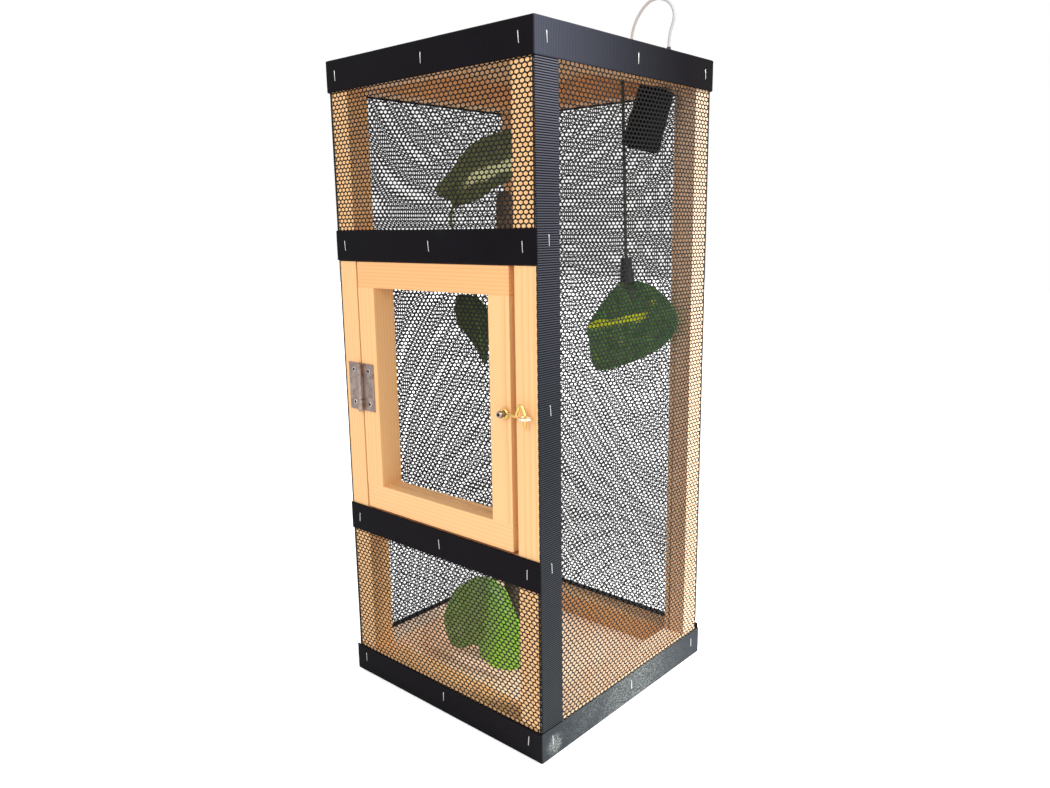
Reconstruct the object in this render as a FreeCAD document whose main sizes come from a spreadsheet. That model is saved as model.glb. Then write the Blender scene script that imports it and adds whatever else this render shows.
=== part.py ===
import FreeCAD, Part
import math
import os
import re

# A tall wooden terrarium: a pine frame wrapped in black netting and nylon webbing, with a netted door
# on a butt hinge and a brass hook, a lamp, a leafy branch and a hanging leaf inside.
# The origin is the middle of the underside. The door faces -Y and +Z is up.

os.makedirs("parts", exist_ok=True)
doc = FreeCAD.newDocument("terrarium")

# Driving lengths in millimetres
LENGTHS = {
    # pine frame
    "frame_wide": 267,
    "frame_deep": 272,
    "total_tall": 650,
    "stick": 25,
    "floor_thick": 6,
    "top_thick": 3,
    "upper_rail_low": 459,
    "lower_rail_low": 169.5,
    # netting and webbing
    "net_thick": 0.7,
    "net_hem": 2,
    "net_strand": 2.4,
    "net_margin": 3,
    "band_thick": 1.3,
    "band_wide": 30,
    "band_corner": 1.9,
    "rear_band_lift": 5.5,
    # door
    "door_gap_left": 2,
    "door_gap_right": 6.5,
    "door_gap_ends": 3.5,
    "door_rail": 25.6,
    "door_net_lap": 12,
    # butt hinge
    "hinge_rise": 104.3,
    "hinge_tall": 49.7,
    "hinge_middle": 26,
    "hinge_gap": 0.3,
    "hinge_leaf_long": 20,
    "hinge_leaf_thick": 1.2,
    "knuckle_radius": 3,
    "knuckle_lift": 0.3,
    "pin_radius": 1.25,
    "pin_play": 0.05,
    "pin_head_radius": 2,
    "pin_head_thick": 0.8,
    "hinge_screw_in": 12,
    "hinge_screw_end": 7.5,
    # hook and eye
    "latch_rise": 129,
    "pivot_from_edge": 5.5,
    "pivot_shoulder_radius": 2.2,
    "pivot_shoulder_long": 8,
    "pivot_head_radius": 3.5,
    "pivot_head_thick": 2.4,
    "pivot_shank_radius": 1.5,
    "pivot_shank_long": 15,
    "slot_wide": 0.8,
    "hook_wire_radius": 1.4,
    "hook_loop_radius": 3.7,
    "hook_loop_wire": 1.45,
    "hook_loop_out": 3,
    "hook_foot_gap": 3.8,
    "hook_foot_bend": 2.5,
    "hook_hump_rise": 13.5,
    "hook_hump_back": 5.1,
    "hook_hump_bend": 2,
    "hook_knee_rise": 2.5,
    "hook_knee_bend": 4,
    "hook_peg_long": 10,
    "hook_peg_taper": 4,
    "hook_peg_tip": 0.9,
    "eye_radius": 5.6,
    "eye_wire_radius": 1.3,
    "eye_from_middle": 3.6,
    "eye_shank_radius": 1.3,
    "eye_shank_long": 14,
    # screws, nails and staples
    "fit_play": 0.05,
    "frame_screw_radius": 2,
    "frame_screw_head": 4,
    "frame_screw_long": 50,
    "screw_stagger": 5,
    "screw_inset": 7,
    "panel_screw_radius": 1.5,
    "panel_screw_head": 3,
    "panel_screw_long": 20,
    "hinge_screw_radius": 1.5,
    "hinge_screw_head": 3,
    "hinge_screw_long": 14,
    "staple_crown": 10,
    "staple_wire": 0.7,
    "staple_leg": 6,
    # lamp
    "lamp_from_side": 43.3,
    "lamp_from_back": 45,
    "lamp_drop": 56,
    "lamp_long": 60,
    "lamp_top_radius": 18,
    "lamp_low_radius": 20,
    "lamp_wall": 1.6,
    "lamp_recess": 14,
    "lamp_rim_radius": 20.8,
    "lamp_rim_thick": 3,
    "lamp_rim_up": 6,
    "bulb_radius": 16,
    "bulb_long": 9,
    "stem_radius": 4,
    "nut_radius": 5.5,
    "nut_thick": 3,
    # cord
    "cord_radius": 1.5,
    "grommet_from_side": 29.9,
    "grommet_from_back": 29.9,
    "grommet_radius": 4.5,
    "grommet_neck": 3,
    "grommet_lip": 1.2,
    "relief_long": 12,
    "relief_radius": 2.9,
    "coil_x": 55,
    "coil_from_back": 29.5,
    "coil_inner": 12.5,
    "coil_step": 3.5,
    "tail_run": 24,
    "plug_from_back": 19.5,
    "plug_long": 34,
    "plug_wide": 26,
    "plug_thick": 13.6,
    "plug_round": 4,
    "plug_pin_radius": 2,
    "plug_pin_long": 19,
    "plug_pin_apart": 19,
    # branch and leaves
    "branch_x": 1,
    "branch_y": -30,
    "branch_radius": 10,
    "branch_high": 522,
    "blade_thick": 1.2,
    "petiole_radius": 1.5,
    "stalk_radius": 2,
    "collar_radius": 5.5,
    "collar_long": 22,
    "hanging_leaf_from_back": 41,
    "hanging_leaf_from_side": 121.5,
    "hanging_leaf_drop": 323,
    "hanging_leaf_wide": 114,
    "hanging_leaf_tall": 100,
    "upper_leaf_y": -50,
    "upper_leaf_x": -79,
    "upper_leaf_low": 509,
    "upper_leaf_wide": 118,
    "upper_leaf_tall": 70,
    "middle_leaf_y": -62,
    "middle_leaf_x": -45,
    "middle_leaf_low": 351,
    "middle_leaf_wide": 47,
    "middle_leaf_tall": 69,
    "lower_leaf_y": -62,
    "lower_leaf_x": -82,
    "lower_leaf_low": 15,
    "lower_leaf_wide": 124,
    "lower_leaf_tall": 105,
}

# Angles in degrees and shares of the sizes they follow
LAMP_TILT = 19
STEM_SHARE = 0.2
RAIL_SCREW_SHARE = 0.45
STAPLE_SHARES = (-0.91, 0.03, 0.9)
DOOR_STAPLE_SHARES = (-0.55, 0.55)
BEND_SHARE = 0.45
LEAD_OFFSET_SHARE = 0.7
BOOT_END_SHARE = 1.3
BOOT_START_SHARE = 0.36
COLLAR_END_SHARE = 0.8
ROOT_SHARE = 0.5

# Openings in each net as columns and rows
TALL_NET = (10, 21)
FRONT_NET = (15, 9)
DOOR_NET = (11, 15)
NET_POINTED_SHARE = 0.3

# The coil's turns in each layer, the part of a turn that climbs between them, and where it ends
COIL_TURNS = 3
COIL_CLIMB = 0.5
COIL_END = 6.18

# Where the cord runs between the straight start above its grommet and the coil
CORD_ROUTE = [
    (111.0, 106.0, 692.0),
    (104.0, 106.3, 706.5),
    (88.0, 107.0, 713.0),
    (73.0, 107.5, 708.5),
    (58.5, 108.5, 691.0),
    (52.5, 113.0, 672.0),
    (58.0, 124.5, 657.5),
    (78.0, 141.0, 657.0),
    (94.0, 152.0, 645.0),
    (98.0, 153.5, 620.0),
    (97.0, 151.0, 578.0),
    (95.0, 150.0, 528.0),
    (96.0, 152.0, 477.0),
    (98.0, 151.0, 426.0),
    (97.0, 149.5, 375.0),
    (95.0, 150.0, 324.0),
    (96.0, 152.0, 273.0),
    (98.0, 153.0, 222.0),
    (97.0, 151.0, 171.0),
    (95.5, 150.5, 122.0),
    (96.5, 153.0, 78.0),
    (98.5, 160.0, 40.0),
    (96.0, 173.0, 14.0),
    (84.0, 185.0, 3.0),
]


sheet = doc.addObject("Spreadsheet::Sheet", "sizes")
for row, (alias, length) in enumerate(LENGTHS.items(), start=1):
    sheet.set("A%d" % row, alias)
    sheet.set("B%d" % row, str(length))
    sheet.setAlias("B%d" % row, alias)
doc.recompute()


class Sizes:
    """The sheet's lengths as numbers, for shapes made of curves."""

    def __getattr__(self, alias):
        return float(sheet.get(alias))

    @property
    def door_left(self):
        return self.frame_wide / 2 - self.stick - self.door_gap_left

    @property
    def door_right(self):
        return self.frame_wide / 2 - self.stick - self.door_gap_right

    @property
    def door_low(self):
        return self.lower_rail_low + self.stick + self.door_gap_ends

    @property
    def door_high(self):
        return self.upper_rail_low - self.door_gap_ends

    @property
    def latch_high(self):
        return self.door_low + self.latch_rise

    @property
    def lamp_place(self):
        return vector(
            self.frame_wide / 2 - self.lamp_from_side,
            self.frame_deep / 2 - self.lamp_from_back,
            self.total_tall - self.lamp_drop,
        )

    @property
    def grommet_place(self):
        return vector(
            self.frame_wide / 2 - self.grommet_from_side,
            self.frame_deep / 2 - self.grommet_from_back,
            self.total_tall,
        )

    def band_low(self, level):
        """The lower edge of the webbing that is centred on a cross rail."""
        return float(sheet.get(level + "_rail_low")) + self.stick / 2 - self.band_wide / 2


size = Sizes()
nodes = {}


def linked(formula):
    """The formula with every word pointing at the sheet."""
    return re.sub(r"[a-z][a-z_]+", r"sizes.\g<0>", formula)


def bind(thing, **formulas):
    """Binds properties to formulas; a double underscore stands for a dot."""
    for field, formula in formulas.items():
        thing.setExpression(field.replace("__", "."), linked(formula))
    return thing


def move(thing, place, turn=None):
    """Turns a thing, then binds its place to three formulas."""
    if turn is not None:
        thing.Placement = FreeCAD.Placement(FreeCAD.Vector(), turn)
    x, y, z = place
    return bind(thing, Placement__Base__x=x, Placement__Base__y=y, Placement__Base__z=z)


def keep(name, thing):
    """Makes a thing one of the part's nodes."""
    thing.Label = name
    nodes[name] = thing
    return thing


def block(label, low, high):
    """A square-cut piece between two corners, each given as three formulas."""
    piece = doc.addObject("Part::Box", label)
    sides = {}
    for side, start, end in zip(("Length", "Width", "Height"), low, high):
        sides[side] = "(%s) - (%s)" % (end, start)
    return move(bind(piece, **sides), low)


def cylinder(label, radius, height, place=("0", "0", "0"), turn=None):
    piece = doc.addObject("Part::Cylinder", label)
    return move(bind(piece, Radius=radius, Height=height), place, turn)


def cone(label, start, end, height, place=("0", "0", "0"), turn=None):
    piece = doc.addObject("Part::Cone", label)
    return move(bind(piece, Radius1=start, Radius2=end, Height=height), place, turn)


def fused(label, pieces):
    whole = doc.addObject("Part::MultiFuse", label)
    whole.Shapes = pieces
    return whole


def grouped(label, pieces):
    group = doc.addObject("Part::Compound", label)
    group.Links = pieces
    return group


def cut(label, base, tool):
    rest = doc.addObject("Part::Cut", label)
    rest.Base = base
    rest.Tool = tool
    return rest


def shaped(label, shape, place=None):
    """A piece whose curves come from the sheet's numbers."""
    piece = doc.addObject("Part::Feature", label)
    piece.Shape = shape
    if place is not None:
        piece.Placement = place
    return piece


def vector(x, y, z):
    return FreeCAD.Vector(x, y, z)


# Turns that point a piece's own +Z along a direction
POINTING = {
    "+x": FreeCAD.Rotation(vector(0, 1, 0), 90),
    "-x": FreeCAD.Rotation(vector(0, 1, 0), -90),
    "+y": FreeCAD.Rotation(vector(1, 0, 0), -90),
    "-y": FreeCAD.Rotation(vector(1, 0, 0), 90),
    "+z": FreeCAD.Rotation(vector(0, 0, 1), 0),
    "-z": FreeCAD.Rotation(vector(1, 0, 0), 180),
}

# Formulas for the frame's faces
WOOD_X = "frame_wide / 2"
WOOD_Y = "frame_deep / 2"
INNER_X = "(frame_wide / 2 - stick)"
INNER_Y = "(frame_deep / 2 - stick)"
MIDDLE_X = "(frame_wide / 2 - stick / 2)"
MIDDLE_Y = "(frame_deep / 2 - stick / 2)"
WOOD_LOW = "floor_thick"
WOOD_HIGH = "(total_tall - top_thick)"
NET_X = "(frame_wide / 2 + net_thick)"
NET_Y = "(frame_deep / 2 + net_thick)"
BAND_X = "(frame_wide / 2 + net_thick + band_thick)"
BAND_Y = "(frame_deep / 2 + net_thick + band_thick)"
BAND_LOW = "(%s_rail_low + stick / 2 - band_wide / 2)"
DOOR_LEFT = "(frame_wide / 2 - stick - door_gap_left)"
DOOR_RIGHT = "(frame_wide / 2 - stick - door_gap_right)"
DOOR_LOW = "(lower_rail_low + stick + door_gap_ends)"
DOOR_HIGH = "(upper_rail_low - door_gap_ends)"
HINGE_LOW = "(lower_rail_low + stick + door_gap_ends + hinge_rise)"
LATCH_HIGH = "(lower_rail_low + stick + door_gap_ends + latch_rise)"
EYE_X = "(%s + eye_from_middle)" % MIDDLE_X
LAMP_X = "(frame_wide / 2 - lamp_from_side)"
LAMP_Y = "(frame_deep / 2 - lamp_from_back)"
GROMMET_X = "(frame_wide / 2 - grommet_from_side)"
GROMMET_Y = "(frame_deep / 2 - grommet_from_back)"
SCREW_X = "(frame_wide / 2 - stick / 2 - screw_inset)"
SCREW_Y = "(frame_deep / 2 - stick / 2 - screw_inset)"


# Curves


def arc_between(start, corner, end):
    """The arc that leaves start towards corner and reaches end coming from it."""
    half_turn = (corner - start).getAngle(end - start)
    weight = math.cos(half_turn)
    middle = (start + corner * (2 * weight) + end) * (1 / (2 + 2 * weight))
    return Part.Arc(start, middle, end).toShape()


def rounded_path(points, radii):
    """Straight runs through points, joined by tangent arcs of the given radii."""
    edges = []
    last = points[0]
    for before, corner, after, radius in zip(points, points[1:], points[2:], radii):
        into = (corner - before).normalize()
        out = (after - corner).normalize()
        reach = radius * math.tan(into.getAngle(out) / 2)
        start = corner - into * reach
        end = corner + out * reach
        edges.append(Part.LineSegment(last, start).toShape())
        edges.append(arc_between(start, corner, end))
        last = end
    edges.append(Part.LineSegment(last, points[-1]).toShape())
    return Part.Wire(edges)


def natural_radii(points):
    """Radii as large as the runs beside each corner allow."""
    radii = []
    for before, corner, after in zip(points, points[1:], points[2:]):
        into = corner - before
        out = after - corner
        shorter = min(into.Length, out.Length)
        radii.append(BEND_SHARE * shorter / math.tan(into.getAngle(out) / 2))
    return radii


def tube(path, radius, start, heading):
    """A round bar of the given radius along a path."""
    ring = Part.Wire([Part.makeCircle(radius, start, heading)])
    return path.makePipeShell([ring], True, False)


def run_tube(points, radius, radii=None):
    path = rounded_path(points, natural_radii(points) if radii is None else radii)
    return tube(path, radius, points[0], points[1] - points[0]), path


def drilled(blanks, holes):
    """Cuts each blank by the holes that reach it and keeps it as a node."""
    doc.recompute()
    for name, blank in blanks.items():
        near = [hole for hole in holes if hole.Shape.BoundBox.intersect(blank.Shape.BoundBox)]
        keep(name, cut(name, blank, grouped(name + "_holes", near)) if near else blank)


# Screws, nails and staples


def cross_recess(label):
    """The cross cut into a screw's head, at the origin and pointing along +Z."""
    thin = "slot_wide / 2"
    long = "hinge_screw_radius"
    upright = block(label + "_upright", ("-" + thin, "-" + long, "0"), (thin, long, "slot_wide"))
    level = block(label + "_level", ("-" + long, "-" + thin, "0"), (long, thin, "slot_wide"))
    return fused(label, [upright, level])


def fastener(label, family, place, drive, play="0", recessed=False):
    """A countersunk screw or nail, flush at place and driven along drive; play widens it into its hole."""
    name = {"radius": family + "_radius", "head": family + "_head", "long": family + "_long", "play": play}
    cap = cone(
        label + "_cap",
        "{head} + {play}".format(**name),
        "{radius} + {play}".format(**name),
        "{head} - {radius}".format(**name),
    )
    body = cylinder(
        label + "_body",
        "{radius} + {play}".format(**name),
        "{long} - 2 * {radius}".format(**name),
    )
    point = cone(
        label + "_point",
        "{radius} + {play}".format(**name),
        play,
        "2 * {radius}".format(**name),
        ("0", "0", "{long} - 2 * {radius}".format(**name)),
    )
    whole = fused(label, [cap, body, point])
    if recessed:
        whole = cut(label + "_recessed", whole, cross_recess(label + "_cross"))
    return move(whole, place, POINTING[drive])


def frame_screw_places():
    """Where the frame's screws sit: one through each post into the end of each rail."""
    places = []
    low_mid = "(floor_thick + stick / 2)"
    high_mid = "(total_tall - top_thick - stick / 2)"
    for side, inward in (("", "-x"), ("-", "+x")):
        for front in ("-", ""):
            for level in (low_mid, high_mid):
                x = "%s(%s)" % (side, WOOD_X)
                places.append(((x, front + SCREW_Y, level + " + screw_stagger"), inward))
        for level in ("upper_rail_low", "lower_rail_low"):
            places.append((("%s(%s)" % (side, WOOD_X), "-" + SCREW_Y, level + " + stick / 2"), inward))
    for front, inward in (("-", "+y"), ("", "-y")):
        for side in ("-", ""):
            for level in (low_mid, high_mid):
                y = "%s(%s)" % (front, WOOD_Y)
                places.append(((side + SCREW_X, y, level + " - screw_stagger"), inward))
    return places


def panel_places(high):
    """Where a panel is fixed, twice along each rail that it lies on."""
    places = []
    for sign in ("-", ""):
        for other in ("-", ""):
            along_x = "%s%s * %s" % (sign, WOOD_X, RAIL_SCREW_SHARE)
            along_y = "%s%s * %s" % (sign, WOOD_Y, RAIL_SCREW_SHARE)
            places.append((along_x, other + MIDDLE_Y, high))
            places.append((other + MIDDLE_X, along_y, high))
    return places


def fasteners(name, family, places, drives, recessed=False):
    """One node of like fasteners, and the holes that they sit in."""
    whole = []
    holes = []
    for number, (place, drive) in enumerate(zip(places, drives)):
        whole.append(fastener("%s_%d" % (name, number), family, place, drive, recessed=recessed))
        holes.append(fastener("%s_hole_%d" % (name, number), family, place, drive, "fit_play"))
    keep(name, grouped(name, whole))
    return holes


def staple(label, place, across, out):
    """A wire staple with its crown upright on a face; out is the face's outward axis."""
    flat = "staple_wire / 2"
    half = "staple_crown / 2"
    pieces = []
    spans = (
        ("crown", "0", "-(" + half + ")", half, "staple_wire"),
        ("low_leg", "-staple_leg", "-(" + half + ")", "staple_wire - staple_crown / 2", "0"),
        ("high_leg", "-staple_leg", "staple_crown / 2 - staple_wire", half, "0"),
    )
    for part_name, inner, low, high, outer in spans:
        start = {across: "-(" + flat + ")", "z": low}
        end = {across: flat, "z": high}
        if out.startswith("-"):
            start[out[1]] = "-(%s)" % outer
            end[out[1]] = "-(%s)" % inner
        else:
            start[out[1]] = inner
            end[out[1]] = outer
        corners = [[corner[axis] for axis in "xyz"] for corner in (start, end)]
        pieces.append(block("%s_%s" % (label, part_name), *corners))
    return move(fused(label, pieces), place)


# Frame


def frame_timbers():
    """The corners of the posts, rails, cross rails and panels before drilling."""
    across = {"left": ("-(%s)" % WOOD_X, "-" + INNER_X), "right": (INNER_X, WOOD_X)}
    along = {"front": ("-(%s)" % WOOD_Y, "-" + INNER_Y), "back": (INNER_Y, WOOD_Y)}
    up = {"bottom": (WOOD_LOW, "floor_thick + stick"), "top": (WOOD_HIGH + " - stick", WOOD_HIGH)}
    between_x = ("-" + INNER_X, INNER_X)
    between_y = ("-" + INNER_Y, INNER_Y)
    spans = {}
    for side in across:
        for end in along:
            spans["post_%s_%s" % (end, side)] = (across[side], along[end], (WOOD_LOW, WOOD_HIGH))
    for level in up:
        for side in across:
            spans["%s_rail_%s" % (level, side)] = (across[side], between_y, up[level])
        for end in along:
            spans["%s_rail_%s" % (level, end)] = (between_x, along[end], up[level])
    for level in ("upper", "lower"):
        low = level + "_rail_low"
        spans[level + "_cross_rail"] = (between_x, along["front"], (low, low + " + stick"))
    whole_x = ("-(%s)" % WOOD_X, WOOD_X)
    whole_y = ("-(%s)" % WOOD_Y, WOOD_Y)
    spans["floor_panel"] = (whole_x, whole_y, ("0", "floor_thick"))
    spans["top_panel"] = (whole_x, whole_y, (WOOD_HIGH, "total_tall"))
    return {name: tuple(zip(*sides)) for name, sides in spans.items()}


def make_frame():
    places, drives = zip(*frame_screw_places())
    holes = fasteners("frame_screws", "frame_screw", places, drives)
    floor_places = panel_places("0") + [("branch_x", "branch_y", "0")]
    top_places = panel_places("total_tall")
    drives = ["+z"] * len(floor_places) + ["-z"] * len(top_places)
    holes += fasteners("panel_screws", "panel_screw", floor_places + top_places, drives)
    holes += fasteners("hinge_frame_screws", "hinge_screw", *hinge_screw_places("-"), recessed=True)
    holes.append(
        cylinder(
            "eye_hole",
            "eye_shank_radius + fit_play",
            "eye_shank_long + fit_play",
            (EYE_X, "-(%s)" % WOOD_Y, LATCH_HIGH),
            POINTING["+y"],
        )
    )
    under = "total_tall - 2 * top_thick"
    bores = {
        "stem_hole": ("stem_radius", (STEM_X, LAMP_Y, under)),
        "grommet_hole": ("grommet_neck", (GROMMET_X, GROMMET_Y, under)),
    }
    for label, (radius, place) in bores.items():
        holes.append(cylinder(label, radius + " + fit_play", "3 * top_thick", place))
    drilled({name: block(name + "_blank", *corners) for name, corners in frame_timbers().items()}, holes)
    return holes


# Netting


def hexagon(middle, half_wide, half_tall, point):
    """A net opening, pointed at its top and bottom by a share of its height."""
    shoulder = half_tall * (1 - NET_POINTED_SHARE)
    corners = [
        (0, half_tall),
        (half_wide, shoulder),
        (half_wide, -shoulder),
        (0, -half_tall),
        (-half_wide, -shoulder),
        (-half_wide, shoulder),
        (0, half_tall),
    ]
    return Part.makePolygon([point(middle[0] + u, middle[1] + v) for u, v in corners])


def net_shape(wide, tall, window, counts, point, thickness):
    """A sheet of netting from (0, 0) to (wide, tall) with rows of staggered openings in its window."""
    corners = ((0, 0), (wide, 0), (wide, tall), (0, tall), (0, 0))
    edge = Part.makePolygon([point(*corner) for corner in corners])
    left, low, right, high = window
    columns, rows = counts
    column_step = (right - left) / (columns + 0.5)
    row_step = (high - low) / (rows + NET_POINTED_SHARE)
    half_wide = (column_step - size.net_strand) / 2
    upright_strand = size.net_strand * math.hypot(1, NET_POINTED_SHARE * row_step / column_step)
    half_tall = (row_step - upright_strand) / (2 - NET_POINTED_SHARE * column_step / (2 * half_wide))
    openings = []
    for row in range(rows):
        shift = column_step / 2 * (row % 2)
        for column in range(columns):
            u = left + shift + column_step * (column + 0.5)
            v = low + row_step * (row + (1 + NET_POINTED_SHARE) / 2)
            openings.append(hexagon((u, v), half_wide, half_tall, point))
    return Part.Face([edge] + openings).extrude(thickness)


def make_nets():
    margin = size.net_margin
    wood_x = size.frame_wide / 2
    wood_y = size.frame_deep / 2
    inner_x = wood_x - size.stick
    inner_y = wood_y - size.stick
    rail_top = size.floor_thick + size.stick
    rail_under = size.total_tall - size.top_thick - size.stick
    low = size.net_hem
    high = size.total_tall - size.net_hem
    upper_band = size.band_low("upper")
    lower_band = size.band_low("lower")

    def upright_x(u, v):
        return vector(u, 0, v)

    def upright_y(u, v):
        return vector(0, u, v)

    out_y = vector(0, -size.net_thick, 0)

    def front(name, start, end, window_low, window_high):
        window = (
            wood_x - inner_x + margin,
            window_low - start + margin,
            wood_x + inner_x - margin,
            window_high - start - margin,
        )
        shape = net_shape(2 * wood_x, end - start, window, FRONT_NET, upright_x, out_y)
        place = FreeCAD.Placement(vector(-wood_x, -wood_y, start), FreeCAD.Rotation())
        keep(name, shaped(name, shape, place))

    front("net_front_top", upper_band - size.net_thick, high, upper_band + size.band_wide, rail_under)
    front("net_front_bottom", low, size.lower_rail_low + size.stick, rail_top, lower_band)

    window = (
        wood_x - inner_x + margin,
        rail_top - low + margin,
        wood_x + inner_x - margin,
        rail_under - low - margin,
    )
    back = net_shape(2 * wood_x, high - low, window, TALL_NET, upright_x, -out_y)
    place = FreeCAD.Placement(vector(-wood_x, wood_y, low), FreeCAD.Rotation())
    keep("net_back", shaped("net_back", back, place))

    half_deep = wood_y + size.net_thick
    window = (
        half_deep - inner_y + margin,
        rail_top - low + margin,
        half_deep + inner_y - margin,
        rail_under - low - margin,
    )
    for side, sign in (("left", -1), ("right", 1)):
        out_x = vector(sign * size.net_thick, 0, 0)
        shape = net_shape(2 * half_deep, high - low, window, TALL_NET, upright_y, out_x)
        place = FreeCAD.Placement(vector(sign * wood_x, -half_deep, low), FreeCAD.Rotation())
        keep("net_" + side, shaped("net_" + side, shape, place))

    lap = size.door_net_lap
    wide = size.door_left + size.door_right - 2 * size.stick + 2 * lap
    tall = size.door_high - size.door_low - 2 * size.door_rail + 2 * lap
    window = (lap + margin, lap + margin, wide - lap - margin, tall - lap - margin)
    shape = net_shape(wide, tall, window, DOOR_NET, upright_x, -out_y)
    corner = vector(-size.door_left + size.stick - lap, -inner_y, size.door_low + size.door_rail - lap)
    keep("net_door", shaped("net_door", shape, FreeCAD.Placement(corner, FreeCAD.Rotation())))


# Webbing


def rounded_loop(half_x, half_y, radius):
    """A closed rectangle about the origin with rounded corners."""
    signs = ((1, -1), (1, 1), (-1, 1), (-1, -1))
    corners = [vector(sign_x * half_x, sign_y * half_y, 0) for sign_x, sign_y in signs]
    edges = []
    for number, corner in enumerate(corners):
        before = corners[number - 1]
        after = corners[(number + 1) % 4]
        into = (corner - before).normalize()
        out = (after - corner).normalize()
        edges.append(arc_between(corner - into * radius, corner, corner + out * radius))
        edges.append(Part.LineSegment(corner + out * radius, after - out * radius).toShape())
    return Part.Wire(edges)


def band_ring(label, low):
    """Webbing once round the outside of the netting, its lower edge at a height."""
    inner_x = size.frame_wide / 2 + size.net_thick + size.band_thick
    inner_y = size.frame_deep / 2 + size.net_thick + size.band_thick
    outer = rounded_loop(inner_x + size.band_thick, inner_y + size.band_thick, size.band_corner)
    inner = rounded_loop(inner_x, inner_y, size.band_corner - size.band_thick)
    ring = Part.makeFace([outer, inner], "Part::FaceMakerBullseye").extrude(vector(0, 0, size.band_wide))
    return shaped(label, ring, FreeCAD.Placement(vector(0, 0, low), FreeCAD.Rotation()))


def make_bands():
    keep("top_strap", band_ring("top_strap", size.total_tall - size.band_wide))
    far_x = "(frame_wide / 2 + net_thick + 3 * band_thick)"
    far_y = "(frame_deep / 2 + net_thick + 3 * band_thick)"
    rear_left = block(
        "rear_left_zone",
        ("-" + far_x, "2 * band_thick - " + BAND_Y, "-band_wide"),
        (BAND_X, far_y, "2 * band_wide"),
    )
    keep("bottom_strap_front_right", cut("bottom_strap_front_right", band_ring("front_ring", 0), rear_left))
    rear = doc.addObject("Part::Common", "bottom_strap_rear_left")
    rear.Base = band_ring("rear_ring", size.rear_band_lift)
    rear.Tool = rear_left
    keep("bottom_strap_rear_left", rear)
    for level in ("upper", "lower"):
        low = BAND_LOW % level
        name = level + "_middle_strap"
        front = "(frame_deep / 2 + net_thick + band_thick)"
        corners = ("-" + BAND_X, "-" + front, low), (BAND_X, "-" + NET_Y, low + " + band_wide")
        keep(name, block(name, *corners))
    for side, low, high in (("left", "-" + BAND_X, "-" + NET_X), ("right", NET_X, BAND_X)):
        name = "side_webbing_" + side
        corners = (low, "-" + NET_Y, "net_hem"), (high, "band_wide - " + NET_Y, "total_tall - net_hem")
        keep(name, block(name, *corners))


def make_staples():
    """Staples through each band into the wood behind it, and round the back of the door's net."""
    outer_y = "(frame_deep / 2 + net_thick + 2 * band_thick)"
    outer_x = "(frame_wide / 2 + net_thick + 2 * band_thick)"
    pieces = []
    rows = {"top": "(total_tall - band_wide / 2)", "bottom": "(rear_band_lift + band_wide) / 2"}
    for row, level in rows.items():
        for number, share in enumerate(STAPLE_SHARES):
            along_x = "%s * %s" % (WOOD_X, share)
            along_y = "%s * %s" % (WOOD_Y, share)
            label = "staple_%s_%d_" % (row, number)
            pieces.append(staple(label + "front", (along_x, "-" + outer_y, level), "x", "-y"))
            pieces.append(staple(label + "back", (along_x, outer_y, level), "x", "+y"))
            pieces.append(staple(label + "left", ("-" + outer_x, along_y, level), "y", "-x"))
            pieces.append(staple(label + "right", (outer_x, along_y, level), "y", "+x"))
    for level in ("upper", "lower"):
        for number, share in enumerate(STAPLE_SHARES):
            place = ("%s * %s" % (WOOD_X, share), "-" + BAND_Y, level + "_rail_low + stick / 2")
            pieces.append(staple("staple_%s_%d" % (level, number), place, "x", "-y"))
    levels = (
        "upper_rail_low + stick / 2",
        "(upper_rail_low + lower_rail_low + stick) / 2",
        "lower_rail_low + stick / 2",
    )
    for side, sign, out in (("left", "-", "-x"), ("right", "", "+x")):
        for number, level in enumerate(levels):
            place = (sign + BAND_X, "band_wide / 2 - " + NET_Y, level + " + screw_stagger")
            pieces.append(staple("staple_%s_%d" % (side, number), place, "y", out))
    keep("staples", grouped("staples", pieces))
    pieces = []
    net_back = "-%s + net_thick" % INNER_Y
    rails = (DOOR_LOW + " + door_rail - door_net_lap / 2", DOOR_HIGH + " - door_rail + door_net_lap / 2")
    stiles = ("stick - %s - door_net_lap / 2" % DOOR_LEFT, DOOR_RIGHT + " - stick + door_net_lap / 2")
    for share in DOOR_STAPLE_SHARES:
        along_x = "%s * %s - %s * %s" % (DOOR_RIGHT, (1 + share) / 2, DOOR_LEFT, (1 - share) / 2)
        along_z = "%s * %s + %s * %s" % (DOOR_HIGH, (1 + share) / 2, DOOR_LOW, (1 - share) / 2)
        places = [(along_x, net_back, level) for level in rails]
        places += [(x, net_back, along_z) for x in stiles]
        for place in places:
            pieces.append(staple("staple_door_%d" % len(pieces), place, "x", "+y"))
    keep("staples_door", grouped("staples_door", pieces))


# Door


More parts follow.
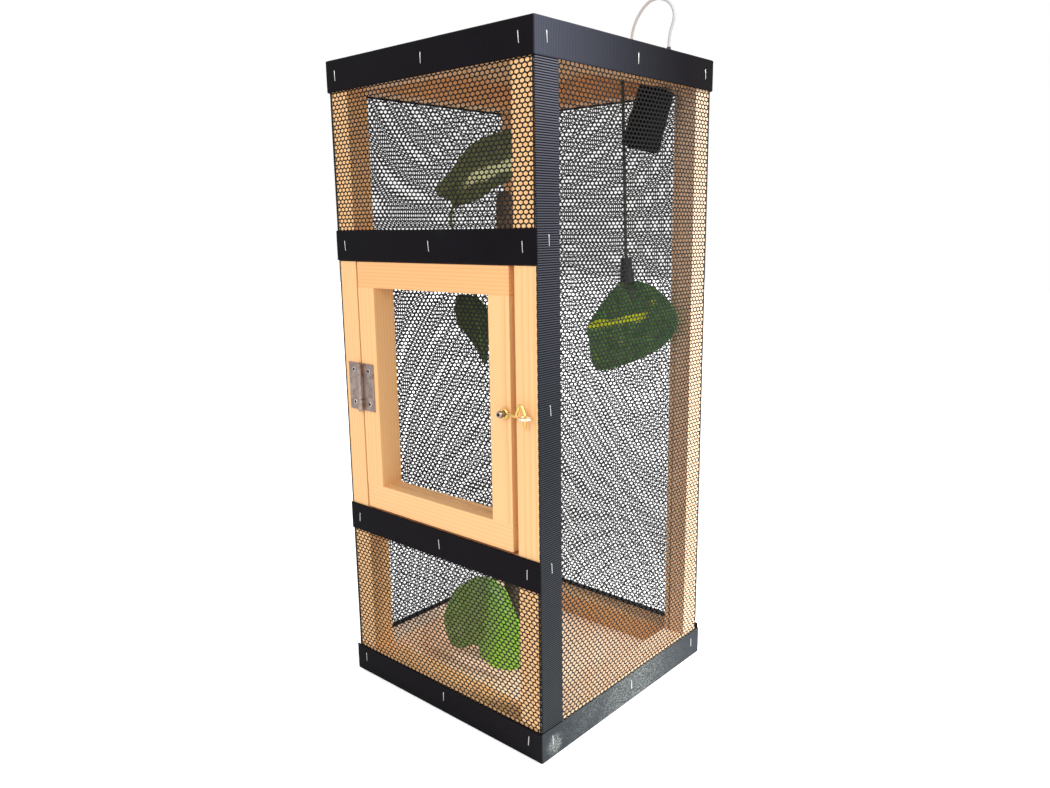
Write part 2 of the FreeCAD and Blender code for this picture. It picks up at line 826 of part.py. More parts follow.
def make_door():
    stile_low = DOOR_LOW + " + door_rail"
    stile_high = DOOR_HIGH + " - door_rail"
    back = "-" + INNER_Y
    front = "-(%s)" % WOOD_Y
    left = "-" + DOOR_LEFT
    right = DOOR_RIGHT
    timbers = {
        "door_rail_bottom": ((left, front, DOOR_LOW), (right, back, stile_low)),
        "door_rail_top": ((left, front, stile_high), (right, back, DOOR_HIGH)),
        "door_stile_hinge": ((left, front, stile_low), ("stick - " + DOOR_LEFT, back, stile_high)),
        "door_stile_latch": ((DOOR_RIGHT + " - stick", front, stile_low), (right, back, stile_high)),
    }
    places = []
    for x in ("stick / 2 - " + DOOR_LEFT, DOOR_RIGHT + " - stick / 2"):
        places.append(((x, "-" + MIDDLE_Y, DOOR_LOW), "+z"))
        places.append(((x, "-" + MIDDLE_Y, DOOR_HIGH), "-z"))
    holes = fasteners("door_screws", "frame_screw", *zip(*places))
    holes += fasteners("hinge_door_screws", "hinge_screw", *hinge_screw_places(""), recessed=True)
    holes.append(
        cylinder(
            "pivot_hole",
            "pivot_shank_radius + fit_play",
            "pivot_shank_long + fit_play",
            (PIVOT_X, front, LATCH_HIGH),
            POINTING["+y"],
        )
    )
    drilled({name: block(name + "_blank", *corners) for name, corners in timbers.items()}, holes)
    return holes


# Hinge


HINGE_X = "-(frame_wide / 2 - stick - door_gap_left / 2)"
HINGE_Y = "-(frame_deep / 2 + knuckle_radius + knuckle_lift)"
HINGE_HIGH = "(%s + hinge_tall)" % HINGE_LOW
KNUCKLE_LOW = "(%s + (hinge_tall - hinge_middle) / 2)" % HINGE_LOW
KNUCKLE_HIGH = "(%s + (hinge_tall + hinge_middle) / 2)" % HINGE_LOW


def hinge_screw_places(side):
    """Two countersunk screws in a leaf, left of the pin for the frame and right of it for the door."""
    sign = " - " if side == "-" else " + "
    x = HINGE_X + sign + "hinge_screw_in"
    y = "-(frame_deep / 2 + hinge_leaf_thick)"
    places = [(x, y, HINGE_LOW + " + hinge_screw_end"), (x, y, HINGE_HIGH + " - hinge_screw_end")]
    return places, ["+y", "+y"]


def make_hinge(frame_holes, door_holes):
    front = "-(frame_deep / 2 + hinge_leaf_thick)"
    wood = "-(%s)" % WOOD_Y
    spans = {
        "frame": [
            (HINGE_LOW, KNUCKLE_LOW + " - hinge_gap / 2"),
            (KNUCKLE_HIGH + " + hinge_gap / 2", HINGE_HIGH),
        ],
        "door": [(KNUCKLE_LOW + " + hinge_gap / 2", KNUCKLE_HIGH + " - hinge_gap / 2")],
    }
    edge = "knuckle_radius + hinge_gap"
    for name, knuckles in spans.items():
        if name == "frame":
            plate_x = (HINGE_X + " - hinge_leaf_long", HINGE_X + " - (%s)" % edge)
            arm_x = (HINGE_X + " - (%s)" % edge, HINGE_X)
            holes = frame_holes
        else:
            plate_x = (HINGE_X + " + " + edge, HINGE_X + " + hinge_leaf_long")
            arm_x = (HINGE_X, HINGE_X + " + " + edge)
            holes = door_holes
        label = "hinge_%s_leaf" % name
        pieces = [block(label + "_plate", (plate_x[0], front, HINGE_LOW), (plate_x[1], wood, HINGE_HIGH))]
        for number, (low, high) in enumerate(knuckles):
            arm = block("%s_arm_%d" % (label, number), (arm_x[0], front, low), (arm_x[1], wood, high))
            pieces.append(arm)
            barrel = cylinder(
                "%s_barrel_%d" % (label, number),
                "knuckle_radius",
                "(%s) - (%s)" % (high, low),
                (HINGE_X, HINGE_Y, low),
            )
            pieces.append(barrel)
        bore = cylinder(label + "_bore", "pin_radius + pin_play", "hinge_tall", (HINGE_X, HINGE_Y, HINGE_LOW))
        drilled({label: cut(label + "_bored", fused(label + "_body", pieces), bore)}, holes)
    shaft = cylinder("hinge_shaft", "pin_radius", "hinge_tall", (HINGE_X, HINGE_Y, HINGE_LOW))
    ends = []
    for label, low in (("hinge_pin_foot", HINGE_LOW + " - pin_head_thick"), ("hinge_pin_head", HINGE_HIGH)):
        ends.append(cylinder(label, "pin_head_radius", "pin_head_thick", (HINGE_X, HINGE_Y, low)))
    keep("hinge_pin", fused("hinge_pin", [shaft] + ends))


# Hook and eye


PIVOT_X = "(%s - pivot_from_edge)" % DOOR_RIGHT


def make_latch():
    """A brass hook on the door's pivot screw, its peg dropped through a screw eye in the post."""
    wood = "-(%s)" % WOOD_Y
    base = (PIVOT_X, wood, LATCH_HIGH)
    shoulder = cylinder(
        "pivot_shoulder", "pivot_shoulder_radius", "pivot_shoulder_long", base, POINTING["-y"]
    )
    shank = cylinder("pivot_shank", "pivot_shank_radius", "pivot_shank_long", base, POINTING["+y"])
    under_head = wood + " - pivot_shoulder_long"
    head = cone(
        "pivot_head",
        "pivot_head_radius",
        "pivot_head_radius - slot_wide",
        "pivot_head_thick",
        (PIVOT_X, under_head, LATCH_HIGH),
        POINTING["-y"],
    )
    screw = fused("pivot_screw_body", [shoulder, shank, head])
    face = under_head + " - pivot_head_thick"
    cross = move(cross_recess("pivot_cross"), (PIVOT_X, face, LATCH_HIGH), POINTING["+y"])
    keep("latch_pivot_screw", cut("latch_pivot_screw", screw, cross))

    eye_place = (EYE_X, wood + " - eye_radius - eye_wire_radius", LATCH_HIGH)
    ring = doc.addObject("Part::Torus", "eye_ring")
    bind(ring, Radius1="eye_radius", Radius2="eye_wire_radius")
    move(ring, eye_place)
    eye_shank = cylinder(
        "eye_shank",
        "eye_shank_radius",
        "eye_shank_long + eye_wire_radius",
        (EYE_X, wood + " - eye_wire_radius", LATCH_HIGH),
        POINTING["+y"],
    )
    keep("latch_eye", fused("latch_eye", [ring, eye_shank]))

    loop = doc.addObject("Part::Torus", "hook_loop")
    bind(loop, Radius1="hook_loop_radius", Radius2="hook_loop_wire")
    seam_away = POINTING["+y"].multiply(FreeCAD.Rotation(vector(0, 0, 1), 180))
    move(loop, (PIVOT_X, wood + " - hook_loop_out", LATCH_HIGH), seam_away)
    keep("latch_hook", fused("latch_hook", [loop, shaped("hook_wire", hook_wire())]))


def hook_wire():
    """The hook's wire: out from the loop, up over a finger hump and down through the eye."""
    pivot_x = size.door_right - size.pivot_from_edge
    eye_x = size.frame_wide / 2 - size.stick / 2 + size.eye_from_middle
    eye_reach = size.eye_radius + size.eye_wire_radius
    eye_y = -size.frame_deep / 2 - eye_reach
    loop_y = -size.frame_deep / 2 - size.hook_loop_out
    high = size.latch_high
    corners = [
        vector(pivot_x + size.hook_loop_radius, loop_y, high),
        vector(eye_x - eye_reach - size.hook_foot_gap, eye_y, high),
        vector(eye_x - size.hook_hump_back, eye_y, high + size.hook_hump_rise),
        vector(eye_x, eye_y, high + size.hook_knee_rise),
        vector(eye_x, eye_y, high - size.hook_peg_long + size.hook_peg_taper),
    ]
    bends = [size.hook_foot_bend, size.hook_hump_bend, size.hook_knee_bend]
    shape, _ = run_tube(corners, size.hook_wire_radius, bends)
    tip = Part.makeCone(
        size.hook_wire_radius,
        size.hook_peg_tip,
        size.hook_peg_taper,
        corners[-1],
        vector(0, 0, -1),
    )
    return shape.fuse(tip)


# Lamp


STEM_X = "(%s + lamp_long * %s)" % (LAMP_X, STEM_SHARE)


def make_lamp():
    """A black spot lamp hung aslant from the top panel on a threaded stem."""
    turn = FreeCAD.Rotation(vector(0, 1, 0), LAMP_TILT)
    axis = turn.multVec(vector(0, 0, 1))
    middle = size.lamp_place
    low_end = middle - axis * (size.lamp_long / 2)
    high_end = middle + axis * (size.lamp_long / 2)
    case = Part.makeCone(size.lamp_low_radius, size.lamp_top_radius, size.lamp_long, low_end, axis)
    rim = Part.makeCylinder(size.lamp_rim_radius, size.lamp_rim_thick, low_end + axis * size.lamp_rim_up, axis)
    inside_radius = size.lamp_low_radius - size.lamp_wall
    recess = Part.makeCylinder(inside_radius, size.lamp_recess, low_end, axis)
    keep("lamp_housing", shaped("lamp_housing", case.fuse(rim).cut(recess)))
    bulb_face = low_end + axis * (size.lamp_recess - size.bulb_long)
    bulb = Part.makeCone(size.bulb_radius, size.stem_radius * 2, size.bulb_long, bulb_face, axis)
    keep("lamp_bulb", shaped("lamp_bulb", bulb))

    stem_x = middle.x + size.lamp_long * STEM_SHARE
    under_panel = size.total_tall - size.top_thick
    elbow_rise = (stem_x - high_end.x) / math.tan(math.radians(LAMP_TILT))
    elbow = vector(stem_x, middle.y, high_end.z + elbow_rise)
    over_panel = vector(stem_x, middle.y, size.total_tall + 2 * size.nut_thick)
    stem, _ = run_tube([high_end, elbow, over_panel], size.stem_radius, [size.stem_radius * 2])
    keep("lamp_stem", shaped("lamp_stem", stem))
    corner = vector(size.nut_radius, 0, 0)
    flats = [FreeCAD.Rotation(vector(0, 0, 1), 60 * number).multVec(corner) for number in range(7)]
    prism = Part.Face(Part.makePolygon(flats)).extrude(vector(0, 0, size.nut_thick))
    nut = prism.cut(Part.makeCylinder(size.stem_radius + size.fit_play, size.nut_thick))
    nuts = []
    for low in (under_panel - size.nut_thick, size.total_tall):
        nuts.append(nut.translated(vector(stem_x, middle.y, low)))
    keep("lamp_nuts", shaped("lamp_nuts", Part.makeCompound(nuts)))

    start = high_end + vector(0, size.lamp_top_radius * LEAD_OFFSET_SHARE, 0)
    end = size.grommet_place - vector(0, 0, size.top_thick + size.grommet_lip)
    straight = 4 * size.cord_radius
    points = [start, start + axis * straight, end - vector(0, 0, straight), end]
    lead, _ = run_tube(points, size.cord_radius)
    keep("lamp_lead", shaped("lamp_lead", lead))


# Cord


def cord_points():
    """The cord's route from the top of its grommet to the coil."""
    start = size.grommet_place + vector(0, 0, size.grommet_lip + size.relief_long)
    points = [start, start + vector(0, 0, 8 * size.cord_radius)]
    points += [vector(*place) for place in CORD_ROUTE]
    start, heading = coil_place(0)
    points.append(start - heading * (6 * size.cord_radius))
    points.append(start)
    return points


def coil_place(turn):
    """A point and heading on the coil: in along the floor, up a layer while it reverses, then out again."""
    half_climb = COIL_CLIMB / 2
    low = size.cord_radius + 2 * size.fit_play

    def at(t):
        past = t - COIL_TURNS - half_climb
        radius = size.coil_inner + size.coil_step * (abs(past) - half_climb)
        share = min(max(past / COIL_CLIMB + 0.5, 0), 1)
        height = low + size.coil_step * (1 - math.cos(math.pi * share)) / 2
        angle = math.radians(90) + 2 * math.pi * t
        middle = vector(size.coil_x, size.frame_deep / 2 + size.coil_from_back, height)
        return middle + vector(radius * math.cos(angle), radius * math.sin(angle), 0)

    step = 1e-4
    heading = at(turn + step) - at(turn - step)
    return at(turn), heading.normalize()


def biarc(start, start_heading, end, end_heading):
    """Two tangent arcs between two places with headings."""
    across = end - start
    both = start_heading + end_heading
    spread = 2 * (1 - start_heading.dot(end_heading))
    lean = across.dot(both)
    reach = (math.sqrt(lean * lean + spread * across.dot(across)) - lean) / spread
    first = start + start_heading * reach
    second = end - end_heading * reach
    joint = (first + second) * 0.5
    return [arc_between(start, first, joint), arc_between(joint, second, end)]


def make_cord():
    points = cord_points()
    cord, path = run_tube(points, size.cord_radius)
    radii = natural_radii(points)
    print("cord: length %.0f, radii %s" % (path.Length, " ".join("%.0f" % radius for radius in radii)))
    section = math.pi * size.cord_radius ** 2
    print("cord: volume over section times length %.4f" % (cord.Volume / (section * path.Length)))

    turns = [k / 4 for k in range(int(4 * COIL_END) + 1)] + [COIL_END]
    places = [coil_place(turn) for turn in turns]
    edges = []
    for (here, here_heading), (there, there_heading) in zip(places, places[1:]):
        edges += biarc(here, here_heading, there, there_heading)
    path = Part.Wire(edges)
    coil = tube(path, size.cord_radius, *places[0])
    keep("cord_coil", shaped("cord_coil", coil))
    print("coil: length %.0f, least gap %.2f" % (path.Length, least_gap(path)))
    print("coil: volume over section times length %.4f" % (coil.Volume / (section * path.Length)))

    coil_end, heading = places[-1]
    heading = vector(heading.x, heading.y, 0).normalize()
    bend = coil_end + heading * size.tail_run
    plug_y = size.frame_deep / 2 + size.plug_from_back
    entry = vector(bend.x - size.tail_run, plug_y, size.plug_thick / 2 + size.fit_play)
    tail, path = run_tube([coil_end, bend, entry], size.cord_radius)
    keep("cord", shaped("cord", Part.makeCompound([cord, tail])))
    print("tail: length %.0f, radii %s" % (path.Length, natural_radii([coil_end, bend, entry])))
    make_plug(entry, entry - bend)

    make_grommet()


def make_grommet():
    """The bush that holds the cord in the top panel, with a tapered relief above it."""
    low = size.grommet_place - vector(0, 0, size.top_thick + size.grommet_lip)
    lift = vector(0, 0, size.grommet_lip)
    panel = vector(0, 0, size.top_thick)
    under = Part.makeCylinder(size.grommet_radius, size.grommet_lip, low)
    neck = Part.makeCylinder(size.grommet_neck, size.top_thick, low + lift)
    lip = Part.makeCylinder(size.grommet_radius, size.grommet_lip, low + lift + panel)
    relief = Part.makeCone(
        size.relief_radius,
        size.cord_radius * BOOT_END_SHARE,
        size.relief_long,
        low + lift + panel + lift,
    )
    keep("cord_grommet", shaped("cord_grommet", under.fuse([neck, lip, relief]).removeSplitter()))


def least_gap(path):
    """The least distance between two stretches of the coil that aren't neighbours, wall to wall."""
    points = path.discretize(Number=1200)
    step = path.Length / 1200
    skip = int(3 * size.coil_inner / step)
    least = min(
        (points[i] - points[j]).Length
        for i in range(0, len(points), 3)
        for j in range(i + skip, len(points), 3)
    )
    return least - 2 * size.cord_radius


def make_plug(entry, heading):
    """A flat two-pin plug that lies beside the coil, with a tapered boot where the cord enters."""
    heading = vector(heading.x, heading.y, 0).normalize()
    ahead = vector(1, 0, 0)
    boot = Part.makeCone(
        size.cord_radius * BOOT_END_SHARE,
        size.plug_thick * BOOT_START_SHARE,
        size.relief_long,
        vector(0, 0, 0),
        ahead,
    )
    corner = vector(size.relief_long, -size.plug_wide / 2, -size.plug_thick / 2)
    body = Part.makeBox(size.plug_long, size.plug_wide, size.plug_thick, corner)
    body = body.makeFillet(size.plug_round, body.Edges)
    pin_root = size.relief_long + size.plug_long - size.plug_round
    pin_long = size.plug_pin_long + size.plug_round
    pieces = [boot]
    for side in (-size.plug_pin_apart / 2, size.plug_pin_apart / 2):
        pieces.append(Part.makeCylinder(size.plug_pin_radius, pin_long, vector(pin_root, side, 0), ahead))
    plug = body.fuse(pieces)
    turn = FreeCAD.Rotation(vector(1, 0, 0), heading)
    keep("plug", shaped("plug", plug, FreeCAD.Placement(entry + heading * (4 * size.fit_play), turn)))


# Branch and leaves


# The branch's waist, height and lean at each ring from its foot to its tip
BRANCH_SHARES = [
    (1.0, 0.0, 0.0),
    (0.93, 0.16, 0.12),
    (0.98, 0.33, -0.05),
    (0.9, 0.5, 0.1),
    (0.96, 0.67, 0.0),
    (0.9, 0.84, -0.1),
    (0.88, 0.985, -0.05),
    (0.55, 1.0, -0.05),
]


def make_branch():
    """A knobbly upright branch with a rounded top."""
    rings = []
    foot = vector(size.branch_x, size.branch_y, size.floor_thick)
    tall = size.branch_high - size.floor_thick
    for waist, height, lean in BRANCH_SHARES:
        middle = foot + vector(lean * size.branch_radius, 0, tall * height)
        rings.append(Part.Wire([Part.makeCircle(size.branch_radius * waist, middle, vector(0, 0, 1))]))
    limb = Part.makeLoft(rings, True, True)
    drill = Part.makeCylinder(
        size.panel_screw_radius + size.fit_play,
        size.panel_screw_long,
        vector(size.branch_x, size.branch_y, 0),
    )
    keep("branch", shaped("branch", limb.cut(drill)))


# Leaf outlines as shares of each leaf's width and height, from its low left corner
HANGING_SHARES = [
    (0.37, 1.0), (0.20, 0.84), (0.0, 0.53), (-0.02, 0.36), (0.06, 0.0), (0.42, 0.09),
    (0.77, 0.28), (0.95, 0.45), (1.0, 0.64), (0.88, 0.83), (0.65, 0.99),
]
UPPER_SHARES = [
    (1.0, 0.93), (0.86, 1.0), (0.59, 0.94), (0.39, 0.83), (0.11, 0.44), (0.0, 0.3), (0.02, 0.18),
    (0.15, 0.09), (0.19, 0.0), (0.30, 0.02), (0.50, 0.1), (0.68, 0.24), (0.86, 0.33), (1.0, 0.6),
]
MIDDLE_SHARES = [
    (0.11, 0.98), (0.0, 0.64), (0.26, 0.42), (0.62, 0.22), (0.96, 0.0), (1.0, 0.35), (0.99, 0.78),
    (0.79, 0.94), (0.57, 1.0),
]
LOWER_SHARES = [
    (0.15, 0.68), (0.31, 0.82), (0.49, 0.95), (0.66, 1.0), (0.80, 0.94), (0.87, 0.80), (0.94, 0.6),
    (0.99, 0.43), (1.0, 0.28), (0.97, 0.16), (0.87, 0.05), (0.69, 0.0), (0.56, 0.03), (0.51, 0.08),
    (0.47, 0.16), (0.36, 0.13), (0.27, 0.06), (0.15, 0.04), (0.05, 0.13), (0.0, 0.29), (0.06, 0.5),
]

# Where each leaf's stem passes, as shares of the same width and height
UPPER_STEM_SHARES = ((0.25, 0.16), (0.15, -0.3), (0.42, -0.9), (0.64, -1.1))
MIDDLE_STEM_SHARES = ((0.5, 0.85), (0.8, 1.35), (0.98, 1.25))
LOWER_STEM_SHARES = ((0.64, 0.8), (0.68, 1.2), (0.67, 1.05))
HANGING_STEM_SHARES = ((0.37, 3.2), (0.46, 1.22), (0.58, 0.8))
COLLAR_SHARES = ((0.46, 1.22), (0.53, 0.98))


class Leaf:
    """A thin leaf blade standing in a plane of constant Y, in a box named in the sheet."""

    def __init__(self, name, corner=None):
        self.name = name
        if corner is None:
            corner = vector(*(float(sheet.get(name + end)) for end in ("_x", "_y", "_low")))
        self.corner = corner
        self.wide = float(sheet.get(name + "_wide"))
        self.tall = float(sheet.get(name + "_tall"))

    def point(self, across, up):
        return self.corner + vector(self.wide * across, 0, self.tall * up)

    def blade(self, shares):
        curve = Part.BSplineCurve()
        curve.interpolate([self.point(across, up) for across, up in shares], PeriodicFlag=True)
        return Part.Face(Part.Wire([curve.toShape()])).extrude(vector(0, size.blade_thick, 0))

    def stem_points(self, shares, root=None):
        """Points along the blade's middle plane; a root takes the last one's place across the leaf."""
        points = [self.point(across, up) + vector(0, size.blade_thick / 2, 0) for across, up in shares]
        if root is not None:
            points[-1] = vector(root.x, root.y, points[-1].z)
            for number in range(1, len(points) - 1):
                share = number / (len(points) - 1)
                points[number].y += (root.y - points[number].y) * share
        return points

    def keep(self, shape, stem_points, radius):
        stem, _ = run_tube(stem_points, radius)
        keep(self.name, shaped(self.name, shape.fuse(stem)))


def make_leaves():
    front_root = vector(size.branch_x, size.branch_y - size.branch_radius * ROOT_SHARE, 0)
    side_root = vector(size.branch_x - size.branch_radius * ROOT_SHARE, size.branch_y, 0)
    for name, shares, stem_shares, root in (
        ("upper_leaf", UPPER_SHARES, UPPER_STEM_SHARES, side_root),
        ("middle_leaf", MIDDLE_SHARES, MIDDLE_STEM_SHARES, front_root),
        ("lower_leaf", LOWER_SHARES, LOWER_STEM_SHARES, front_root),
    ):
        leaf = Leaf(name)
        leaf.keep(leaf.blade(shares), leaf.stem_points(stem_shares, root), size.petiole_radius)

    corner = vector(
        size.frame_wide / 2 - size.hanging_leaf_from_side,
        size.frame_deep / 2 - size.hanging_leaf_from_back,
        size.total_tall - size.hanging_leaf_drop,
    )
    leaf = Leaf("hanging_leaf", corner)
    stalk = leaf.stem_points(HANGING_STEM_SHARES)
    stalk[0].z = size.total_tall - size.top_thick - 4 * size.fit_play
    top, end = leaf.stem_points(COLLAR_SHARES)
    end_radius = size.collar_radius * COLLAR_END_SHARE
    collar = Part.makeCone(end_radius, size.collar_radius, size.collar_long, top, end - top)
    leaf.keep(leaf.blade(HANGING_SHARES).fuse(collar), stalk, size.stalk_radius)


frame_holes = make_frame()
make_nets()
make_bands()
make_staples()
door_holes = make_door()
make_hinge(frame_holes, door_holes)
make_latch()
make_lamp()
make_cord()
make_branch()
make_leaves()
doc.recompute()

for thing in doc.Objects:
    if "Invalid" in thing.State or "Error" in thing.State:
        raise RuntimeError("%s did not recompute: %s" % (thing.Label, thing.State))
for name, thing in nodes.items():
    if thing.Shape.isNull() or not thing.Shape.isValid():
        raise RuntimeError("%s has no valid shape" % name)
    thing.Shape.exportStep("parts/%s.step" % name)
print("%d nodes" % len(nodes))
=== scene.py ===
import math
import random

import bpy
import numpy as np
from mathutils import Matrix, Vector
from mathutils.geometry import delaunay_2d_cdt


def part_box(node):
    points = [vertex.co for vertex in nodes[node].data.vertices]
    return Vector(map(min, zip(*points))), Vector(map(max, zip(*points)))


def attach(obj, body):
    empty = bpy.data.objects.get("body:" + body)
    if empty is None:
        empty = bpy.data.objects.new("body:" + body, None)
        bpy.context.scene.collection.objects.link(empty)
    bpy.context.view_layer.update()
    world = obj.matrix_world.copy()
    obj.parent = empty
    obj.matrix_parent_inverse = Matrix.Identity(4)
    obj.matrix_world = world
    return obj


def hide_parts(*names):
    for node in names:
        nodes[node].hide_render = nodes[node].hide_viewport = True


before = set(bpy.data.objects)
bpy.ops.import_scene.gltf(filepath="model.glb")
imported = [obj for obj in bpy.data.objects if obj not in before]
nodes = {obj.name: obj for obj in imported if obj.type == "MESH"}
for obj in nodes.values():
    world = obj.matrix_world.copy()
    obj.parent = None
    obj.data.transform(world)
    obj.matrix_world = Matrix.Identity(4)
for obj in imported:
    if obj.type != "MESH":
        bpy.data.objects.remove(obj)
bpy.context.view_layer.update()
MM = 0.001
random.seed(7)


def box(node):
    """A node's lowest and highest corners, in millimetres to a hundredth."""
    return [[round(value / MM, 2) for value in corner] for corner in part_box(node)]


# Node materials


def put(tree, kind, inputs=None, **settings):
    """Adds a node; inputs are values or sockets of other nodes, by name or number."""
    node = tree.nodes.new(kind)
    for field, value in settings.items():
        setattr(node, field, value)
    for key, value in (inputs or {}).items():
        if isinstance(value, bpy.types.NodeSocket):
            tree.links.new(value, node.inputs[key])
        else:
            node.inputs[key].default_value = value
    return node


def shades(tree, factor, stops):
    """A colour ramp with (position, colour) stops."""
    node = put(tree, "ShaderNodeValToRGB", {0: factor})
    ramp = node.color_ramp
    while len(ramp.elements) < len(stops):
        ramp.elements.new(0.5)
    for element, (position, colour) in zip(ramp.elements, stops):
        element.position = position
        element.color = (*colour, 1)
    return node.outputs[0]


def blended(tree, factor, first, second):
    """Mixes two colours, each a value or a socket."""
    node = put(tree, "ShaderNodeMix", {0: factor}, data_type="RGBA", blend_type="MIX")
    for number, colour in ((6, first), (7, second)):
        if isinstance(colour, bpy.types.NodeSocket):
            tree.links.new(colour, node.inputs[number])
        else:
            node.inputs[number].default_value = (*colour, 1)
    return node.outputs[2]


def maths(tree, operation, *values):
    """The result of an operation on values or sockets."""
    node = put(tree, "ShaderNodeMath", dict(enumerate(values)), operation=operation)
    return node.outputs[0]


def product(tree, first, *others):
    """Multiplies values or sockets."""
    for other in others:
        first = maths(tree, "MULTIPLY", first, other)
    return first


def apart(tree, where, place):
    """The distance of each point from a place, in metres."""
    return put(tree, "ShaderNodeVectorMath", {0: where, 1: place}, operation="DISTANCE").outputs["Value"]


def stretch(tree, value, low, high, out_low=0.0, out_high=1.0):
    """Maps a range to another, clamped."""
    inputs = {0: value, 1: low, 2: high, 3: out_low, 4: out_high}
    return put(tree, "ShaderNodeMapRange", inputs).outputs[0]


def places(tree, scale=(1, 1, 1), offset=(0, 0, 0), source="Object"):
    """Object or UV coordinates in metres, moved and scaled."""
    where = put(tree, "ShaderNodeTexCoord").outputs[source]
    return put(tree, "ShaderNodeMapping", {0: where, 1: offset, 3: scale}).outputs[0]


def noise(tree, vector, scale, detail=3.0, roughness=0.5, distortion=0.0):
    """Soft noise from 0 to 1."""
    inputs = {"Vector": vector, "Scale": scale, "Detail": detail, "Roughness": roughness}
    inputs["Distortion"] = distortion
    return put(tree, "ShaderNodeTexNoise", inputs).outputs[0]


def feed(tree, shader, **sockets):
    """Links sockets to the shader's inputs by name."""
    for name, socket in sockets.items():
        tree.links.new(socket, shader.inputs[name.replace("_", " ")])


def relief(tree, height, distance, strength=1.0, after=None):
    """Bumps of a height, on top of other bumps if after is given."""
    inputs = {"Height": height, "Distance": distance, "Strength": strength}
    if after is not None:
        inputs["Normal"] = after
    return put(tree, "ShaderNodeBump", inputs).outputs[0]


def surface(name, **values):
    """A material and its shader, with plain values set on the shader's sockets."""
    material = bpy.data.materials.new(name)
    material.use_nodes = True
    tree = material.node_tree
    shader = tree.nodes["Principled BSDF"]
    for socket, value in values.items():
        shader.inputs[socket.replace("_", " ")].default_value = value
    return material, tree, shader


PINE_LIGHT = (0.90, 0.545, 0.255)
PINE_DARK = (0.72, 0.345, 0.12)
PINE_BLUSH = (0.92, 0.50, 0.205)
LATE_WOOD_SHARE = 0.38
RING_SCALE = (5.0, 115.0)
FIBRE_SCALE = (22.0, 1400.0)
BROAD_SCALE = (2.2, 16.0)


def pine(name, axis, offset, light=PINE_LIGHT, dark=PINE_DARK):
    """Straight-grained pine along an axis of the object, 0 for X, 1 for Y and 2 for Z."""

    def drawn_out(along, across):
        return [along if number == axis else across for number in range(3)]

    material, tree, shader = surface(name, Roughness=0.46, Specular_IOR_Level=0.4)
    inputs = {
        "Vector": places(tree, drawn_out(*RING_SCALE), offset),
        "Scale": 0.8,
        "Distortion": 3.2,
        "Detail": 3.0,
        "Detail Scale": 0.35,
        "Detail Roughness": 0.55,
    }
    rings = put(
        tree, "ShaderNodeTexWave", inputs, wave_type="RINGS", rings_direction="XYZ"[axis], wave_profile="SAW"
    ).outputs["Fac"]
    fibres = noise(tree, places(tree, drawn_out(*FIBRE_SCALE)), 1.0, 3.0, 0.65)
    broad = noise(tree, places(tree, drawn_out(*BROAD_SCALE), offset), 1.0, 2.0)
    late = tuple(a * (1 - LATE_WOOD_SHARE) + b * LATE_WOOD_SHARE for a, b in zip(light, dark))
    colour = shades(tree, rings, [(0.0, light), (0.55, light), (0.86, late), (0.97, dark), (1.0, light)])
    colour = blended(tree, stretch(tree, fibres, 0.35, 0.75, 0.0, 0.32), colour, late)
    colour = blended(tree, stretch(tree, broad, 0.35, 0.7, 0.0, 0.55), colour, PINE_BLUSH)
    bumps = relief(tree, fibres, 0.0002, 0.35)
    bumps = relief(tree, rings, 0.00025, 0.3, bumps)
    feed(
        tree, shader, Base_Color=colour,
        Roughness=stretch(tree, fibres, 0.2, 0.8, 0.38, 0.58),
        Normal=bumps,
    )
    return material


def netting():
    """Black knitted strands with a faint sheen."""
    material, tree, shader = surface(
        "netting", Base_Color=(0.010, 0.010, 0.011, 1), Roughness=0.62, Specular_IOR_Level=0.16
    )
    knit = noise(tree, places(tree), 2600.0, 2.0)
    feed(
        tree, shader, Normal=relief(tree, knit, 0.0003, 0.6),
        Roughness=stretch(tree, knit, 0.3, 0.7, 0.5, 0.75),
    )
    return material


NYLON = [(0.3, (0.005, 0.004, 0.0055)), (0.62, (0.0065, 0.0055, 0.0075)), (0.85, (0.011, 0.011, 0.013))]
RIGHT_FACE = (0.1355, 0.1365)
# Painted sheen on the webbing's right face: the span along Y over which it grows towards the front corner,
# and its grey
SHEEN_FADE = (0.09, -0.14)
SHEEN_GREY = (0.078, 0.085, 0.115)
# Painted highlights on the rib crests, by height
CREST_HIGHLIGHT_BY_HEIGHT = [
    (0.0, (0.052, 0.062, 0.068)),
    (0.45, (0.038, 0.046, 0.056)),
    (0.8, (0.095, 0.10, 0.13)),
    (1.0, (0.19, 0.195, 0.245)),
]
RIB_CREST = 0.003
CREST_THREAD = (0.03, 0.03, 0.035)
SLATE = (0.034, 0.041, 0.047)
DUST = (0.36, 0.39, 0.37)
DUST_MIDDLE = (0.1368, 0.01, 0.022)
DUST_CORNER = (0.1368, -0.121, 0.012)


def painted_sheen_face(tree, where, axes, colour):
    """Painted sheen on the right face, strongest towards the front corner, with the weave showing."""
    side = stretch(tree, axes.outputs[0], *RIGHT_FACE)
    sheen_reach = maths(tree, "POWER", stretch(tree, axes.outputs[1], *SHEEN_FADE), 1.5)
    inputs = {"Vector": where, "Scale": 155.0, "Distortion": 1.5}
    weave = put(tree, "ShaderNodeTexWave", inputs, bands_direction="Y").outputs["Fac"]
    weave = stretch(tree, weave, 0.0, 1.0, 0.55, 1.0)
    return blended(tree, product(tree, side, sheen_reach, weave), colour, SHEEN_GREY)


